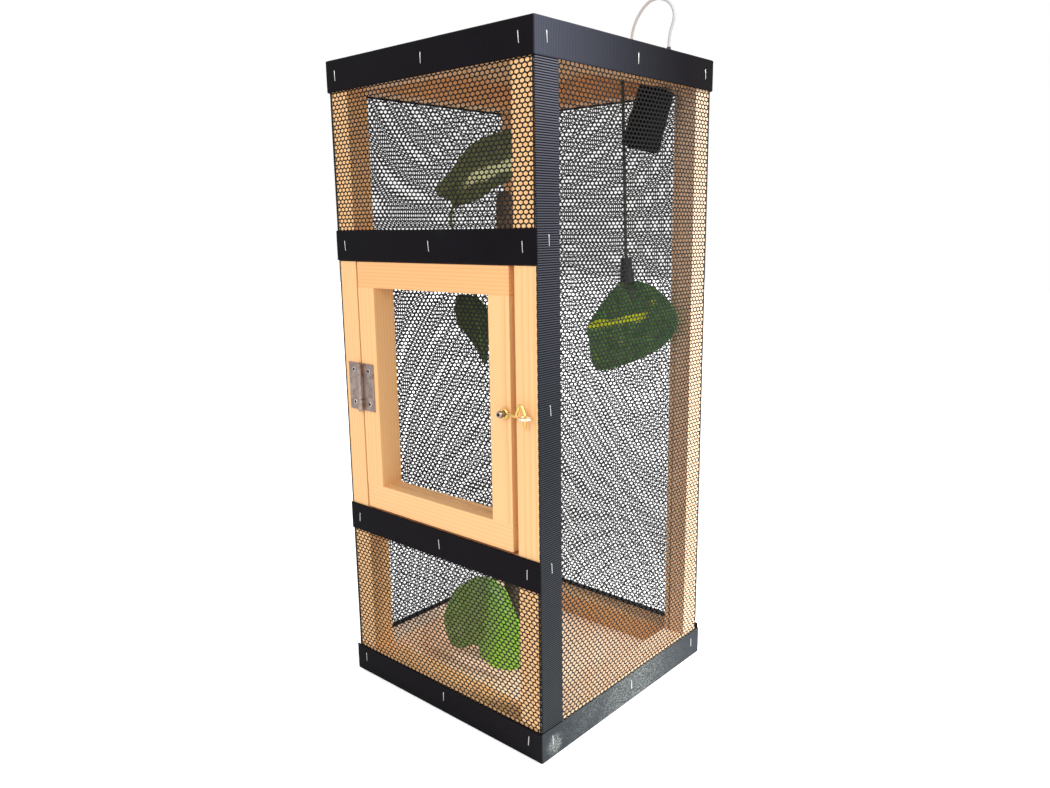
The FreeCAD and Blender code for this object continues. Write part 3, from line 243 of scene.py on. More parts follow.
def painted_crest_highlights(tree, axes, thread, colour):
    """Painted highlights on the crests of the ribs, brighter towards the top."""
    climb = maths(tree, "ADD", axes.outputs[2], -RIB_CREST)
    turn = product(tree, climb, 2 * math.pi / (RIB_PITCH * MM))
    crest = stretch(tree, maths(tree, "COSINE", turn), -0.5, 0.9)
    crest_highlight = shades(tree, stretch(tree, axes.outputs[2], 0.05, 0.65), CREST_HIGHLIGHT_BY_HEIGHT)
    crest_highlight = blended(tree, stretch(tree, thread, 0.35, 0.7, 0.0, 0.35), crest_highlight, CREST_THREAD)
    return blended(tree, crest, colour, crest_highlight)


def dusted(tree, where, axes, colour, dust):
    """Slate grey with pale scuffs on the right face, most of them mid-way and at the front corner."""
    side = stretch(tree, axes.outputs[0], *RIGHT_FACE)
    grain = stretch(tree, noise(tree, where, 350.0, 4.0), 0.3, 0.7, 0.75, 1.0)
    colour = blended(tree, product(tree, side, grain), colour, SLATE)
    scuff = stretch(tree, noise(tree, places(tree, (1, 0.55, 1.3)), 620.0, 8.0, 0.85), 0.47, 0.62)
    patch = stretch(tree, noise(tree, where, 21.0, 3.0, 0.6), 0.42, 0.62)
    middle = stretch(tree, apart(tree, where, DUST_MIDDLE), 0.02, 0.11, 1.0, 0.18)
    corner = stretch(tree, apart(tree, where, DUST_CORNER), 0.004, 0.016, 1.5, 0.0)
    middle = maths(tree, "MAXIMUM", middle, corner)
    patch = maths(tree, "MAXIMUM", patch, middle)
    return blended(tree, product(tree, scuff, patch, middle, side, dust), colour, DUST)


def webbing(name, lit, dust=0.0):
    """Woven black nylon; lit is "face" for a painted sheen on the right face, "ribs" for painted highlights
    on the rib crests, or None, and dust is how dusty its right side is.
    """
    material, tree, shader = surface(name, Specular_IOR_Level=0.045)
    where = places(tree)
    axes = put(tree, "ShaderNodeSeparateXYZ", {0: where})
    wear = noise(tree, where, 28.0, 5.0, 0.62)
    thread = noise(tree, where, 1900.0, 2.0, 0.6)
    colour = shades(tree, wear, NYLON)
    # face: a painted sheen on the right face, greyer towards the front corner
    if lit == "face":
        colour = painted_sheen_face(tree, where, axes, colour)
    # ribs: painted highlights on the rib crests, brighter towards the top
    if lit == "ribs":
        colour = painted_crest_highlights(tree, axes, thread, colour)
    if dust:
        colour = dusted(tree, where, axes, colour, dust)
    feed(
        tree, shader, Base_Color=colour,
        Normal=relief(tree, thread, 0.00025, 0.7),
        Roughness=stretch(tree, wear, 0.3, 0.7, 0.42, 0.62),
    )
    return material


def metal(name, light, dark, rough, wear_scale=60.0, mottle=0.5, metallic=1.0, sheen=0.5):
    """A metal or paint with mottled wear and fine scratches."""
    material, tree, shader = surface(name, Metallic=metallic, Specular_IOR_Level=sheen)
    where = places(tree)
    wear = noise(tree, where, wear_scale, 5.0, 0.6)
    scratches = noise(tree, where, 2400.0, 2.0)
    colour = blended(tree, stretch(tree, wear, 0.35, 0.7, 0.0, mottle), light, dark)
    feed(
        tree, shader, Base_Color=colour,
        Roughness=stretch(tree, wear, 0.3, 0.75, rough, rough + 0.2),
        Normal=relief(tree, scratches, 0.00004, 0.5),
    )
    return material


# How far the painted shade round a head's rim and at the edge of its recess fades in
HEAD_RIM = 0.0006
RECESS_EDGE = 0.0005
DULL_SHARE = 0.7


def screw_heads(node, light, dark, head, hole):
    """Heads with painted shade in the recess and round the rim; a node holds one, or two with one above the
    other.
    """
    material, tree, shader = surface(node + "_metal", Metallic=1.0)
    corners = np.array([tuple(corner) for corner in nodes[node].bound_box])
    low, high = corners.min(axis=0), corners.max(axis=0)
    middle = (low + high) / 2
    half = (high[2] - low[2]) / 2 - head
    axes = put(tree, "ShaderNodeSeparateXYZ", {0: places(tree)})
    aside = maths(tree, "SUBTRACT", axes.outputs[0], float(middle[0]))
    above = maths(tree, "ABSOLUTE", maths(tree, "SUBTRACT", axes.outputs[2], float(middle[2])))
    above = maths(tree, "SUBTRACT", above, float(half))
    squares = maths(tree, "ADD", product(tree, aside, aside), product(tree, above, above))
    reach = maths(tree, "SQRT", squares)
    shaded_recess = stretch(tree, reach, hole, hole + RECESS_EDGE)
    rim = stretch(tree, reach, head, head - HEAD_RIM)
    wear = noise(tree, places(tree), 260.0, 5.0, 0.6)
    duller = tuple(c * DULL_SHARE for c in light)
    colour = blended(tree, stretch(tree, wear, 0.35, 0.7, 0.0, 0.6), light, duller)
    # Painted shade: the dark colour fills the recess and the edge round the head
    colour = blended(tree, product(tree, shaded_recess, rim), dark, colour)
    feed(
        tree, shader, Base_Color=colour,
        Roughness=stretch(tree, wear, 0.3, 0.75, 0.26, 0.46),
        Normal=relief(tree, wear, 0.00006, 0.5),
    )
    return material


def plastic(name, colour, rough):
    """A moulded or extruded plastic with a fine grain and slight mottling."""
    material, tree, shader = surface(name)
    where = places(tree)
    broad = noise(tree, where, 45.0, 3.0)
    grain = noise(tree, where, 900.0, 2.0)
    darker = tuple(c * 0.86 for c in colour)
    mottled = blended(tree, stretch(tree, broad, 0.35, 0.7), colour, darker)
    feed(
        tree, shader, Base_Color=mottled,
        Roughness=stretch(tree, grain, 0.3, 0.7, rough - 0.05, rough + 0.08),
        Normal=relief(tree, grain, 0.00004, 0.5),
    )
    return material


def lamp_glass():
    """Pale frosted glass with shallow facets."""
    look = {"Roughness": 0.35, "Transmission_Weight": 0.35, "Base_Color": (0.9, 0.9, 0.86, 1)}
    material, tree, shader = surface("lamp_glass", **look)
    facets = noise(tree, places(tree), 300.0, 2.0)
    feed(tree, shader, Normal=relief(tree, facets, 0.0004, 0.6))
    return material


BARK_PLATES = [(0.3, (0.035, 0.018, 0.011)), (0.55, (0.13, 0.075, 0.042)), (0.75, (0.24, 0.16, 0.10))]
BARK_OLIVE = (0.07, 0.06, 0.035)


def bark():
    """Rough brown bark with long plates, dark olive in places."""
    material, tree, shader = surface("bark", Roughness=0.85)
    where = places(tree, (1, 1, 0.28))
    plates = noise(tree, where, 190.0, 6.0, 0.7, 0.6)
    broad = noise(tree, where, 40.0, 3.0)
    colour = shades(tree, plates, BARK_PLATES)
    colour = blended(tree, stretch(tree, broad, 0.4, 0.7, 0.0, 0.5), colour, BARK_OLIVE)
    feed(tree, shader, Base_Color=colour, Normal=relief(tree, plates, 0.0022, 0.9))
    return material


VEIN_SPACING = 11.5
VEIN_SLOPE = 0.8


def striped(tree, along, ragged, stripe_band, colour, stripe_and_glint):
    """A streaked stripe along a blade, inside a band of (low, high, start, end) in metres."""
    low, high, start, end = stripe_band
    inside = product(tree, stretch(tree, ragged, low, low + 0.002), stretch(tree, ragged, high, high - 0.002))
    length = product(tree, stretch(tree, along, start, start + 0.012), stretch(tree, along, end, end - 0.02))
    streaks = noise(tree, places(tree, (60, 700, 1), source="UV"), 1.0)
    streaks = stretch(tree, streaks, 0.25, 0.5, 0.55, 1.0)
    return blended(tree, product(tree, inside, length, streaks), colour, stripe_and_glint)


def painted_glints(tree, where, wander, glints, colour, stripe_and_glint):
    """Painted glints on a blade, broken up, each as (along, across, size) in metres."""
    broken = noise(tree, places(tree, (110, 420, 1), source="UV"), 1.0, 3.0)
    broken = stretch(tree, broken, 0.40, 0.62)
    for u, v, size in glints:
        reach = maths(tree, "ADD", apart(tree, where, (u, v, 0)), maths(tree, "ABSOLUTE", wander))
        spot = stretch(tree, reach, size, size * 0.2, 0.0, 0.75)
        colour = blended(tree, product(tree, spot, broken), colour, stripe_and_glint)
    return colour


def leaf_green(name, base, deep, stripe_and_glint, stripe_band, gloss, painted_lit_half=None, tilt=0.0, glints=()):
    """A leaf with raised veins, a stripe, painted glints and a painted lit half; its UV map runs along and
    across the blade in metres.
    """
    material, tree, shader = surface(name, Roughness=gloss, Subsurface_Weight=0.08, Subsurface_Scale=0.002)
    where = places(tree, source="UV")
    axes = put(tree, "ShaderNodeSeparateXYZ", {0: where})
    along = axes.outputs[0]
    across = axes.outputs[1]
    side = maths(tree, "ABSOLUTE", across)
    wander = product(tree, maths(tree, "SUBTRACT", noise(tree, where, 40.0, 3.0), 0.5), 0.012)
    slant = maths(tree, "ADD", maths(tree, "SUBTRACT", along, product(tree, side, VEIN_SLOPE)), wander)
    wave = maths(tree, "COSINE", product(tree, slant, 2 * math.pi / (VEIN_SPACING * MM)))
    ribs = product(tree, stretch(tree, wave, 0.86, 1.0), 0.55)
    midrib = stretch(tree, side, 0.0004, 0.0016, 1.0, 0.0)
    veins = maths(tree, "MAXIMUM", ribs, midrib)
    cells = noise(tree, where, 520.0, 3.0)
    mottle = noise(tree, where, 60.0, 4.0, 0.6)
    colour = blended(tree, stretch(tree, mottle, 0.35, 0.68), base, deep)
    # Painted light: one half of the blade, across the fold, is lighter where the light falls on it
    if painted_lit_half:
        colour = blended(tree, stretch(tree, across, -0.012, 0.02, 0.0, 0.85), colour, painted_lit_half)
    if stripe_band:
        ragged = maths(tree, "ADD", maths(tree, "ADD", across, wander), product(tree, along, tilt))
        colour = striped(tree, along, ragged, stripe_band, colour, stripe_and_glint)
    # Painted highlights: glints in the stripe colour
    if glints:
        colour = painted_glints(tree, where, wander, glints, colour, stripe_and_glint)
    pale = tuple(min(1.0, c * 1.5 + 0.02) for c in base)
    colour = blended(tree, product(tree, veins, 0.45), colour, pale)
    bumps = relief(tree, cells, 0.00025, 0.4)
    bumps = relief(tree, veins, -0.0006, 0.6, bumps)
    feed(tree, shader, Base_Color=colour, Normal=bumps)
    return material


# Mesh helpers


def add(name, data):
    """Links a new object with this data to the scene."""
    thing = bpy.data.objects.new(name, data)
    bpy.context.scene.collection.objects.link(thing)
    return thing


def piece(name, vertices, faces, material, body):
    """A smooth mesh piece, given in millimetres, that rides on a body."""
    mesh = bpy.data.meshes.new(name)
    mesh.from_pydata((np.asarray(vertices, float) * MM).tolist(), [], [list(map(int, f)) for f in faces])
    mesh.polygons.foreach_set("use_smooth", [True] * len(mesh.polygons))
    mesh.validate()
    mesh.update()
    thing = add(name, mesh)
    mesh.materials.append(material)
    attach(thing, body)
    return thing


WELD_REACH = 2e-6
SHARP_ANGLE = math.radians(50)
WIRE_SIDES = 8


def dress(names, material, edge=0.0):
    """Gives CAD nodes a material, smooth curves and, if edge is a width in metres, softened edges."""
    for name in names:
        thing = nodes[name]
        thing.data.materials.clear()
        thing.data.materials.append(material)
        thing.modifiers.new("weld", "WELD").merge_threshold = WELD_REACH
        if edge:
            bevel = thing.modifiers.new("edges", "BEVEL")
            bevel.width = edge
            bevel.segments = 2
            bevel.limit_method = "ANGLE"
            bevel.angle_limit = SHARP_ANGLE
            bevel.use_clamp_overlap = True
            thing.modifiers.new("flat_faces", "WEIGHTED_NORMAL").weight = 100
        thing.data.polygons.foreach_set("use_smooth", [True] * len(thing.data.polygons))


def add_tube(vertices, faces, line, radii, reference, sides):
    """Adds a tube with closed ends along points, a radius at each; reference points to its first side."""
    first = len(vertices)
    for number, (point, radius) in enumerate(zip(line, radii)):
        before = line[max(number - 1, 0)]
        after = line[min(number + 1, len(line) - 1)]
        heading = (after - before).normalized()
        reference = (reference - heading * reference.dot(heading)).normalized()
        other = heading.cross(reference)
        for side in range(sides):
            angle = 2 * math.pi * side / sides
            outward = reference * math.cos(angle) + other * math.sin(angle)
            vertices.append(tuple(point + outward * radius))
    for number in range(len(line) - 1):
        for side in range(sides):
            a = first + number * sides + side
            b = first + number * sides + (side + 1) % sides
            faces.append((a, b, b + sides, a + sides))
    faces.append([first + side for side in reversed(range(sides))])
    faces.append([first + (len(line) - 1) * sides + side for side in range(sides)])


def wires(name, lines, radius, material):
    """Round wires along polylines in millimetres, as one piece."""
    vertices = []
    faces = []
    for line in lines:
        line = [Vector(point) for point in line]
        reference = (line[1] - line[0]).normalized().orthogonal().normalized()
        add_tube(vertices, faces, line, [radius] * len(line), reference, WIRE_SIDES)
    return piece(name, vertices, faces, material, "frame")


def on_curve(p0, p1, p2, p3, t):
    """The point at a share t of the way from p1 to p2 on a Catmull-Rom curve."""
    square = 2 * p0 - 5 * p1 + 4 * p2 - p3
    cube = 3 * p1 - p0 - 3 * p2 + p3
    return 0.5 * (2 * p1 + (p2 - p0) * t + square * t * t + cube * t ** 3)


# Netting: staggered rounded cells, with each strand domed between its holes

NET_PITCH = 5.9
NET_ROW = 3.8
NET_BASE = 0.12
NET_RISE = 0.42
NET_SWAY = 0.35
HEM_WIDE = 1.6
HEM_RISE = 0.6
ROUNDING_PER_MM = 50
CELL_OVERHANG = 0.4
SMALLEST_FACE = 1e-3
WAVE_UP, WAVE_SIDE, WAVE_LONG = 31, 47, 37


def lattice(wide, tall, phase, open_share):
    """Vertices as (across, up, rise from 0 to 1) and four-sided faces of a net of this size."""
    pitch, row = NET_PITCH, NET_ROW
    rim = [
        (pitch / 2, 0), (pitch / 2, row / 3), (pitch / 4, row / 2), (0, 2 * row / 3),
        (-pitch / 4, row / 2), (-pitch / 2, row / 3), (-pitch / 2, 0), (-pitch / 2, -row / 3),
        (-pitch / 4, -row / 2), (0, -2 * row / 3), (pitch / 4, -row / 2), (pitch / 2, -row / 3),
    ]
    shrink = [0.78, 0.71, 0.72, 0.69, 0.72, 0.71, 0.78, 0.71, 0.72, 0.69, 0.72, 0.71]
    rows = int(tall / row) + 2
    columns = int(wide / pitch) + 2
    up, along = np.meshgrid(np.arange(-1, rows), np.arange(-1, columns), indexing="ij")
    centre_u = (along + 0.5 * (up % 2)) * pitch + phase
    centre_v = up * row + row / 2
    centres = np.stack([centre_u.ravel(), centre_v.ravel()], axis=1)
    reach = np.array([pitch * CELL_OVERHANG, row * CELL_OVERHANG])
    keep = np.all((centres > -reach) & (centres < np.array([wide, tall]) + reach), axis=1)
    centres = centres[keep]
    outer = np.array(rim)
    inner = outer * np.array(shrink)[:, None] * open_share
    outer_points = (centres[:, None, :] + outer[None]).reshape(-1, 2)
    inner_points = (centres[:, None, :] + inner[None]).reshape(-1, 2)
    rounded = np.round(outer_points * ROUNDING_PER_MM).astype(np.int64)
    _, first, shared = np.unique(rounded, axis=0, return_index=True, return_inverse=True)
    shared = shared.ravel()
    base = len(first)
    count = len(centres)
    ring = np.arange(count * len(rim)).reshape(count, len(rim))
    following = np.roll(ring, -1, axis=1)
    corners = [shared[ring], shared[following], following + base, ring + base]
    faces = np.stack([corner.ravel() for corner in corners], axis=1)
    flat = np.concatenate([outer_points[first], inner_points])
    rise = np.concatenate([np.ones(base), np.zeros(len(inner_points))])
    flat[:, 0] += NET_SWAY * np.sin(flat[:, 1] / WAVE_UP + phase) * np.sin(flat[:, 0] / WAVE_SIDE)
    flat[:, 1] += NET_SWAY * np.sin(flat[:, 0] / WAVE_LONG + phase)
    flat = np.clip(flat, 0, np.array([wide, tall]))
    edges = flat[faces]
    diagonal = edges[:, 2] - edges[:, 0]
    other = edges[:, 3] - edges[:, 1]
    area = np.abs(diagonal[:, 0] * other[:, 1] - diagonal[:, 1] * other[:, 0])
    return flat, rise, faces[area > SMALLEST_FACE]


def net(part, across, out, body="frame", open_share=1.0):
    """A net in the place of its CAD node; across and out are unit axes, and open_share scales its holes."""
    name = "net_mesh_" + part
    low, high = box("net_" + part)
    corner = [low[k] if across[k] + out[k] > 0 else high[k] for k in (0, 1)] + [low[2]]
    wide = round(high[0] - low[0] if across[0] else high[1] - low[1], 2)
    tall = round(high[2] - low[2], 2)
    corner, across, out = (np.array(v, float) for v in (corner, across, out))
    up = np.array([0.0, 0.0, 1.0])
    flat, rise, faces = lattice(wide, tall, len(name) % NET_PITCH, open_share)
    depth = NET_BASE + NET_RISE * rise
    points = corner + flat[:, :1] * across + flat[:, 1:] * up + depth[:, None] * out
    strips = [
        ((0, 0), (wide, HEM_WIDE)),
        ((0, tall - HEM_WIDE), (wide, tall)),
        ((0, HEM_WIDE), (HEM_WIDE, tall - HEM_WIDE)),
        ((wide - HEM_WIDE, HEM_WIDE), (wide, tall - HEM_WIDE)),
    ]
    hem = []
    hem_faces = []
    for (u0, v0), (u1, v1) in strips:
        start = len(points) + len(hem)
        for u, v in ((u0, v0), (u1, v0), (u1, v1), (u0, v1)):
            hem.append(corner + u * across + v * up + HEM_RISE * out)
        hem_faces.append((start, start + 1, start + 2, start + 3))
    points = np.concatenate([points, np.array(hem)])
    thing = piece(name, points, faces.tolist() + hem_faces, NETTING, body)
    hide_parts("net_" + part)


# Webbing: a band swept along a path, its ribs across its length

RIB_PITCH = 2.0
RIB_STEP = RIB_PITCH / 4
RIB_SHARES = (0.0, 0.7, 1.0, 0.7)
BEND_STEPS = 6
BAND_WIDE = 30.0
BAND_ACROSS = [0.0, 0.5, 1.3, 2.4, 7.0, 15.0, 23.0, 27.6, 28.7, 29.5, 30.0]
BAND_HEIGHTS = [0.35, 0.95, 1.22, 1.12, 1.16, 1.18, 1.16, 1.12, 1.22, 0.95, 0.35]
UNDER_INSET = 0.2
UNDER_LIFT = 0.05
SLOW_SWAY, SLOW_RATE = 0.12, 0.021
QUICK_SWAY, QUICK_RATE = 0.06, 0.083
EDGE_SWAY = 0.25
FACE_SWAY = 0.2
LEVEL_RIB, UPRIGHT_RIB = 0.1, 0.3


def stations(corners, radius, step):
    """Points and outward normals along a path with rounded corners, on a level plane."""
    corners = [Vector(corner) for corner in corners]
    points = []
    last = corners[0]
    for number in range(1, len(corners)):
        corner = corners[number]
        into = (corner - last).normalized()
        normal = Vector((into.y, -into.x))
        turning = number < len(corners) - 1
        end = corner - into * radius if turning else corner
        count = max(2, int((end - last).length / step))
        for k in range(count):
            points.append((last.lerp(end, k / count), normal))
        if turning:
            out = (corners[number + 1] - corner).normalized()
            centre = end - normal * radius
            for k in range(BEND_STEPS):
                angle = math.pi / 2 * k / BEND_STEPS
                turned = normal * math.cos(angle) + into * math.sin(angle)
                points.append((centre + turned * radius, turned))
            last = corner + out * radius
        else:
            points.append((corner, normal))
    return points


def band(name, node, line, material, rib, closed=False):
    """Webbing over (point, outward normal, crosswise direction) stations."""
    vertices = []
    faces = []
    ring = len(BAND_ACROSS) + 2
    for number, (point, out, side) in enumerate(line):
        lift = rib * (RIB_SHARES[number % 4] - 1)
        sway = SLOW_SWAY * math.sin(number * SLOW_RATE + len(name))
        sway += QUICK_SWAY * math.sin(number * QUICK_RATE)
        for across, height in zip(BAND_ACROSS, BAND_HEIGHTS):
            edge = EDGE_SWAY * sway if across in (0.0, BAND_WIDE) else 0.0
            vertices.append(point + side * (across + edge) + out * (height + lift + FACE_SWAY * sway))
        vertices.append(point + side * (BAND_WIDE - UNDER_INSET) + out * UNDER_LIFT)
        vertices.append(point + side * UNDER_INSET + out * UNDER_LIFT)
    total = len(line)
    for number in range(total if closed else total - 1):
        here = number * ring
        there = ((number + 1) % total) * ring
        for k in range(ring):
            faces.append((here + k, here + (k + 1) % ring, there + (k + 1) % ring, there + k))
    if not closed:
        faces.append(list(reversed(range(ring))))
        faces.append([(total - 1) * ring + k for k in range(ring)])
    thing = piece(name, [tuple(v) for v in vertices], faces, material, "frame")
    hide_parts(node)


def level_band(name, node, corners, material, closed=False):
    """Webbing on a level path, from its node's lower edge up."""
    low = box(node)[0][2]
    line = []
    for point, normal in stations(corners, 1.0, RIB_STEP):
        line.append((Vector((point.x, point.y, low)), Vector((normal.x, normal.y, 0)), Vector((0, 0, 1))))
    if closed:
        line = line[:-1]
    band(name, node, line, material, LEVEL_RIB, closed)


# Leaves

BLADE_GRID = 2.0
BLADE_THICK = 0.0006
BLADE_BOW = 0.06
OUTLINE_STEPS = 7
FOLD_REACH, FOLD_DEPTH = 14.0, 6
CURL_CENTRE, CURL_DEPTH = 0.45, 10
RIPPLE_ALONG, RIPPLE_ACROSS, RIPPLE_REACH = 7.5, 11.0, 30.0
VEIN_RISE = 0.16
MIDRIB_DEPTH, MIDRIB_REACH = 0.5, 1.3
STEM_SIDES = 12
STEM_STEPS = 10


def smooth_loop(points, count):
    """A closed smooth curve through points, with count steps between each two."""
    points = np.array(points, float)
    total = len(points)
    result = []
    for number in range(total):
        p0, p1, p2, p3 = (points[(number + k) % total] for k in (-1, 0, 1, 2))
        result += [on_curve(p0, p1, p2, p3, step / count) for step in range(count)]
    return np.array(result)


def filled(edge):
    """Points and triangles that fill a closed outline, with an even grid inside it."""
    low, high = edge.min(axis=0), edge.max(axis=0)
    grid = [
        (u, v)
        for u in np.arange(low[0] + BLADE_GRID / 2, high[0], BLADE_GRID)
        for v in np.arange(low[1] + BLADE_GRID / 2, high[1], BLADE_GRID)
    ]
    grid = np.array(grid)
    distance = np.sqrt(((grid[:, None] - edge[None]) ** 2).sum(axis=2)).min(axis=1)
    grid = grid[distance > BLADE_GRID * 0.6]
    points = [Vector(p) for p in edge] + [Vector(p) for p in grid]
    loop = [(k, (k + 1) % len(edge)) for k in range(len(edge))]
    solved = delaunay_2d_cdt(points, loop, [list(range(len(edge)))], 1, 1e-4)
    flat = np.array([tuple(p) for p in solved[0]])
    triangles = []
    for a, b, c in solved[2]:
        u, v = flat[b] - flat[a], flat[c] - flat[a]
        triangles.append((a, b, c) if u[0] * v[1] - u[1] * v[0] > 0 else (a, c, b))
    return flat, triangles


def blade_depth(along, across, share, fold, curl, ripple):
    """How far the points of a blade lie from its plane: the fold, the curl, the waves and the veins."""
    reach = np.abs(across)
    depth = -fold * (1 - np.exp(-reach / FOLD_REACH)) * FOLD_DEPTH
    depth += curl * (share - CURL_CENTRE) ** 2 * CURL_DEPTH
    waves = np.sin(along / RIPPLE_ALONG + across / RIPPLE_ACROSS)
    depth += ripple * waves * np.clip(reach / RIPPLE_REACH, 0, 1)
    veins = np.cos((along - VEIN_SLOPE * reach) * 2 * math.pi / VEIN_SPACING)
    depth += VEIN_RISE * np.clip(veins, 0, 1) - MIDRIB_DEPTH * np.exp(-(reach / MIDRIB_REACH) ** 2)
    return depth


def tapered(name, points, start, end, material):
    """A stem along a smooth curve, from its start radius to its end radius."""
    path = [Vector(p) for p in points]
    fine = []
    for number in range(len(path) - 1):
        before = path[max(number - 1, 0)]
        after = path[min(number + 2, len(path) - 1)]
        here, there = path[number], path[number + 1]
        fine += [on_curve(before, here, there, after, step / STEM_STEPS) for step in range(STEM_STEPS)]
    fine.append(path[-1])
    radii = [start + (end - start) * number / (len(fine) - 1) for number in range(len(fine))]
    vertices = []
    faces = []
    add_tube(vertices, faces, fine, radii, Vector((0.3, 1, 0.2)).normalized(), STEM_SIDES)
    return piece(name, vertices, faces, material, "frame")


def leaf(part, outline, base, tip, plane_y, shape, material, stem_line, stem_material):
    """A thin veined blade in the X-Z plane at plane_y, from its base to its tip, with its stem.

    shape is how much it folds, curls and ripples; stem_line is the stem's points and its two radii.
    """
    flat, triangles = filled(smooth_loop(outline, OUTLINE_STEPS))
    base, tip = np.array(base, float), np.array(tip, float)
    span = np.linalg.norm(tip - base)
    axis = (tip - base) / span
    offset = flat - base
    along = offset @ axis
    share = along / span
    bow = BLADE_BOW * span * np.sin(np.clip(share, 0, 1) * math.pi)
    across = offset @ np.array([-axis[1], axis[0]]) - bow
    depth = blade_depth(along, across, share, *shape)
    depth = depth - depth[np.argmin(np.abs(offset).sum(axis=1))]
    points = np.stack([flat[:, 0], plane_y - depth, flat[:, 1]], axis=1)
    name = "leaf_blade_" + part
    thing = piece(name, points, triangles, material, "frame")
    layer = thing.data.uv_layers.new(name="blade")
    corners = np.zeros(len(thing.data.loops), int)
    thing.data.loops.foreach_get("vertex_index", corners)
    uv = np.stack([along[corners], across[corners]], axis=1) * MM
    layer.data.foreach_set("uv", uv.ravel())
    solid = thing.modifiers.new("thickness", "SOLIDIFY")
    solid.thickness = BLADE_THICK
    solid.offset = 0.0
    stem = tapered(name + "_stem", *stem_line, stem_material)
    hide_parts(part + "_leaf")


# Camera, lights and floor

CAMERA_PLACE = (0.5926, -0.6648, 0.4881)
CAMERA_YAW, CAMERA_PITCH, CAMERA_ROLL = (math.radians(a) for a in (41.85, 11.26, -0.84))
FOCAL_PIXELS, PICTURE_WIDE = 842.3, 1050
SENSOR_WIDE = 36
WARM_WHITE = (1.0, 0.98, 0.95)
FLOOR_REACH = 6.0
FLOOR_DROP = 0.0004
FLOOR_TONES = [(0.3, (0.88, 0.88, 0.88)), (0.7, (0.91, 0.91, 0.91))]


def make_camera():
    """The camera of the photograph, solved from the corners of the frame."""
    level = Vector((-math.sin(CAMERA_YAW), math.cos(CAMERA_YAW), 0))
    forward = level * math.cos(CAMERA_PITCH) + Vector((0, 0, -math.sin(CAMERA_PITCH)))
    right = Vector((math.cos(CAMERA_YAW), math.sin(CAMERA_YAW), 0))
    up = right.cross(forward)
    turned_right = right * math.cos(CAMERA_ROLL) + up * math.sin(CAMERA_ROLL)
    turned_up = up * math.cos(CAMERA_ROLL) - right * math.sin(CAMERA_ROLL)
    data = bpy.data.cameras.new("camera")
    data.sensor_width = SENSOR_WIDE
    data.lens = FOCAL_PIXELS / PICTURE_WIDE * SENSOR_WIDE
    data.clip_start = 0.01
    data.clip_end = 50
    camera = add("camera", data)
    turn = Matrix((turned_right, turned_up, -forward)).transposed()
    camera.matrix_world = Matrix.Translation(CAMERA_PLACE) @ turn.to_4x4()
    bpy.context.scene.camera = camera


def light(name, kind, place, target, watts):
    """A light aimed at a target, which the camera doesn't see; returns its data."""
    data = bpy.data.lights.new(name, kind)
    data.energy = watts
    lamp = add(name, data)
    lamp.location = place
    lamp.rotation_euler = (Vector(target) - lamp.location).to_track_quat("-Z", "Y").to_euler()
    lamp.visible_camera = False
    return data


def area_light(name, place, target, size, watts, colour=(1, 1, 1)):
    """A rectangular light."""
    data = light(name, "AREA", place, target, watts)
    data.shape = "RECTANGLE"
    data.size, data.size_y = size
    data.color = colour


def make_lights():
    """Soft light from the front, the right and above, and a spot into the cage."""
    area_light("key", (0.5, -1.9, 1.4), (0, -0.1, 0.25), (1.0, 1.0), 17.5, WARM_WHITE)
    area_light("side", (1.8, 0.3, 1.5), (0, 0, 0.15), (1.0, 1.2), 34, WARM_WHITE)
    area_light("top", (0.1, 0.2, 2.4), (0, 0, 0.3), (1.4, 1.4), 6)
    inside = light("inside", "SPOT", (0.75, 0.10, 1.15), (0.10, 0.07, 0.05), 100)
    inside.spot_size = math.radians(27)
    inside.spot_blend = 1.0
    inside.shadow_soft_size = 0.12


def make_world():
    """Soft light all round, with plain white behind the object."""
    world = bpy.data.worlds.new("studio")
    bpy.context.scene.world = world
    world.use_nodes = True
    tree = world.node_tree
    tree.nodes.clear()
    rays = put(tree, "ShaderNodeLightPath")
    seen = maths(tree, "MAXIMUM", rays.outputs["Is Camera Ray"], rays.outputs["Is Transmission Ray"])
    seen = maths(tree, "MAXIMUM", seen, product(tree, rays.outputs["Is Glossy Ray"], 0.6))
    soft = put(tree, "ShaderNodeBackground", {0: (0.95, 0.97, 1.0, 1), 1: 0.8})
    white = put(tree, "ShaderNodeBackground", {0: (1, 1, 1, 1), 1: 1.0})
    both = put(tree, "ShaderNodeMixShader", {0: seen, 1: soft.outputs[0], 2: white.outputs[0]})
    put(tree, "ShaderNodeOutputWorld", {0: both.outputs[0]}).is_active_output = True


def make_floor():
    """A matt white floor that fades into the white behind it."""
    material, tree, shader = surface("floor", Roughness=0.9)
    where = places(tree)
    colour = shades(tree, noise(tree, where, 3.0, 2.0), FLOOR_TONES)
    rays = put(tree, "ShaderNodeLightPath")
    far = stretch(tree, apart(tree, where, (0, 0, 0)), 0.5, 1.6, 0.42, 1.0)
    shader.inputs["Emission Color"].default_value = (1, 1, 1, 1)
    feed(
        tree, shader, Base_Color=colour,
        Emission_Strength=product(tree, rays.outputs["Is Camera Ray"], far),
    )
    mesh = bpy.data.meshes.new("floor")
    corners = [(x * FLOOR_REACH, y * FLOOR_REACH, 0) for x, y in ((-1, -1), (1, -1), (1, 1), (-1, 1))]
    mesh.from_pydata(corners, [], [(0, 1, 2, 3)])
    mesh.materials.append(material)
    floor = add("floor", mesh)
    floor.location.z = -FLOOR_DROP


make_camera()
make_world()
make_lights()
make_floor()

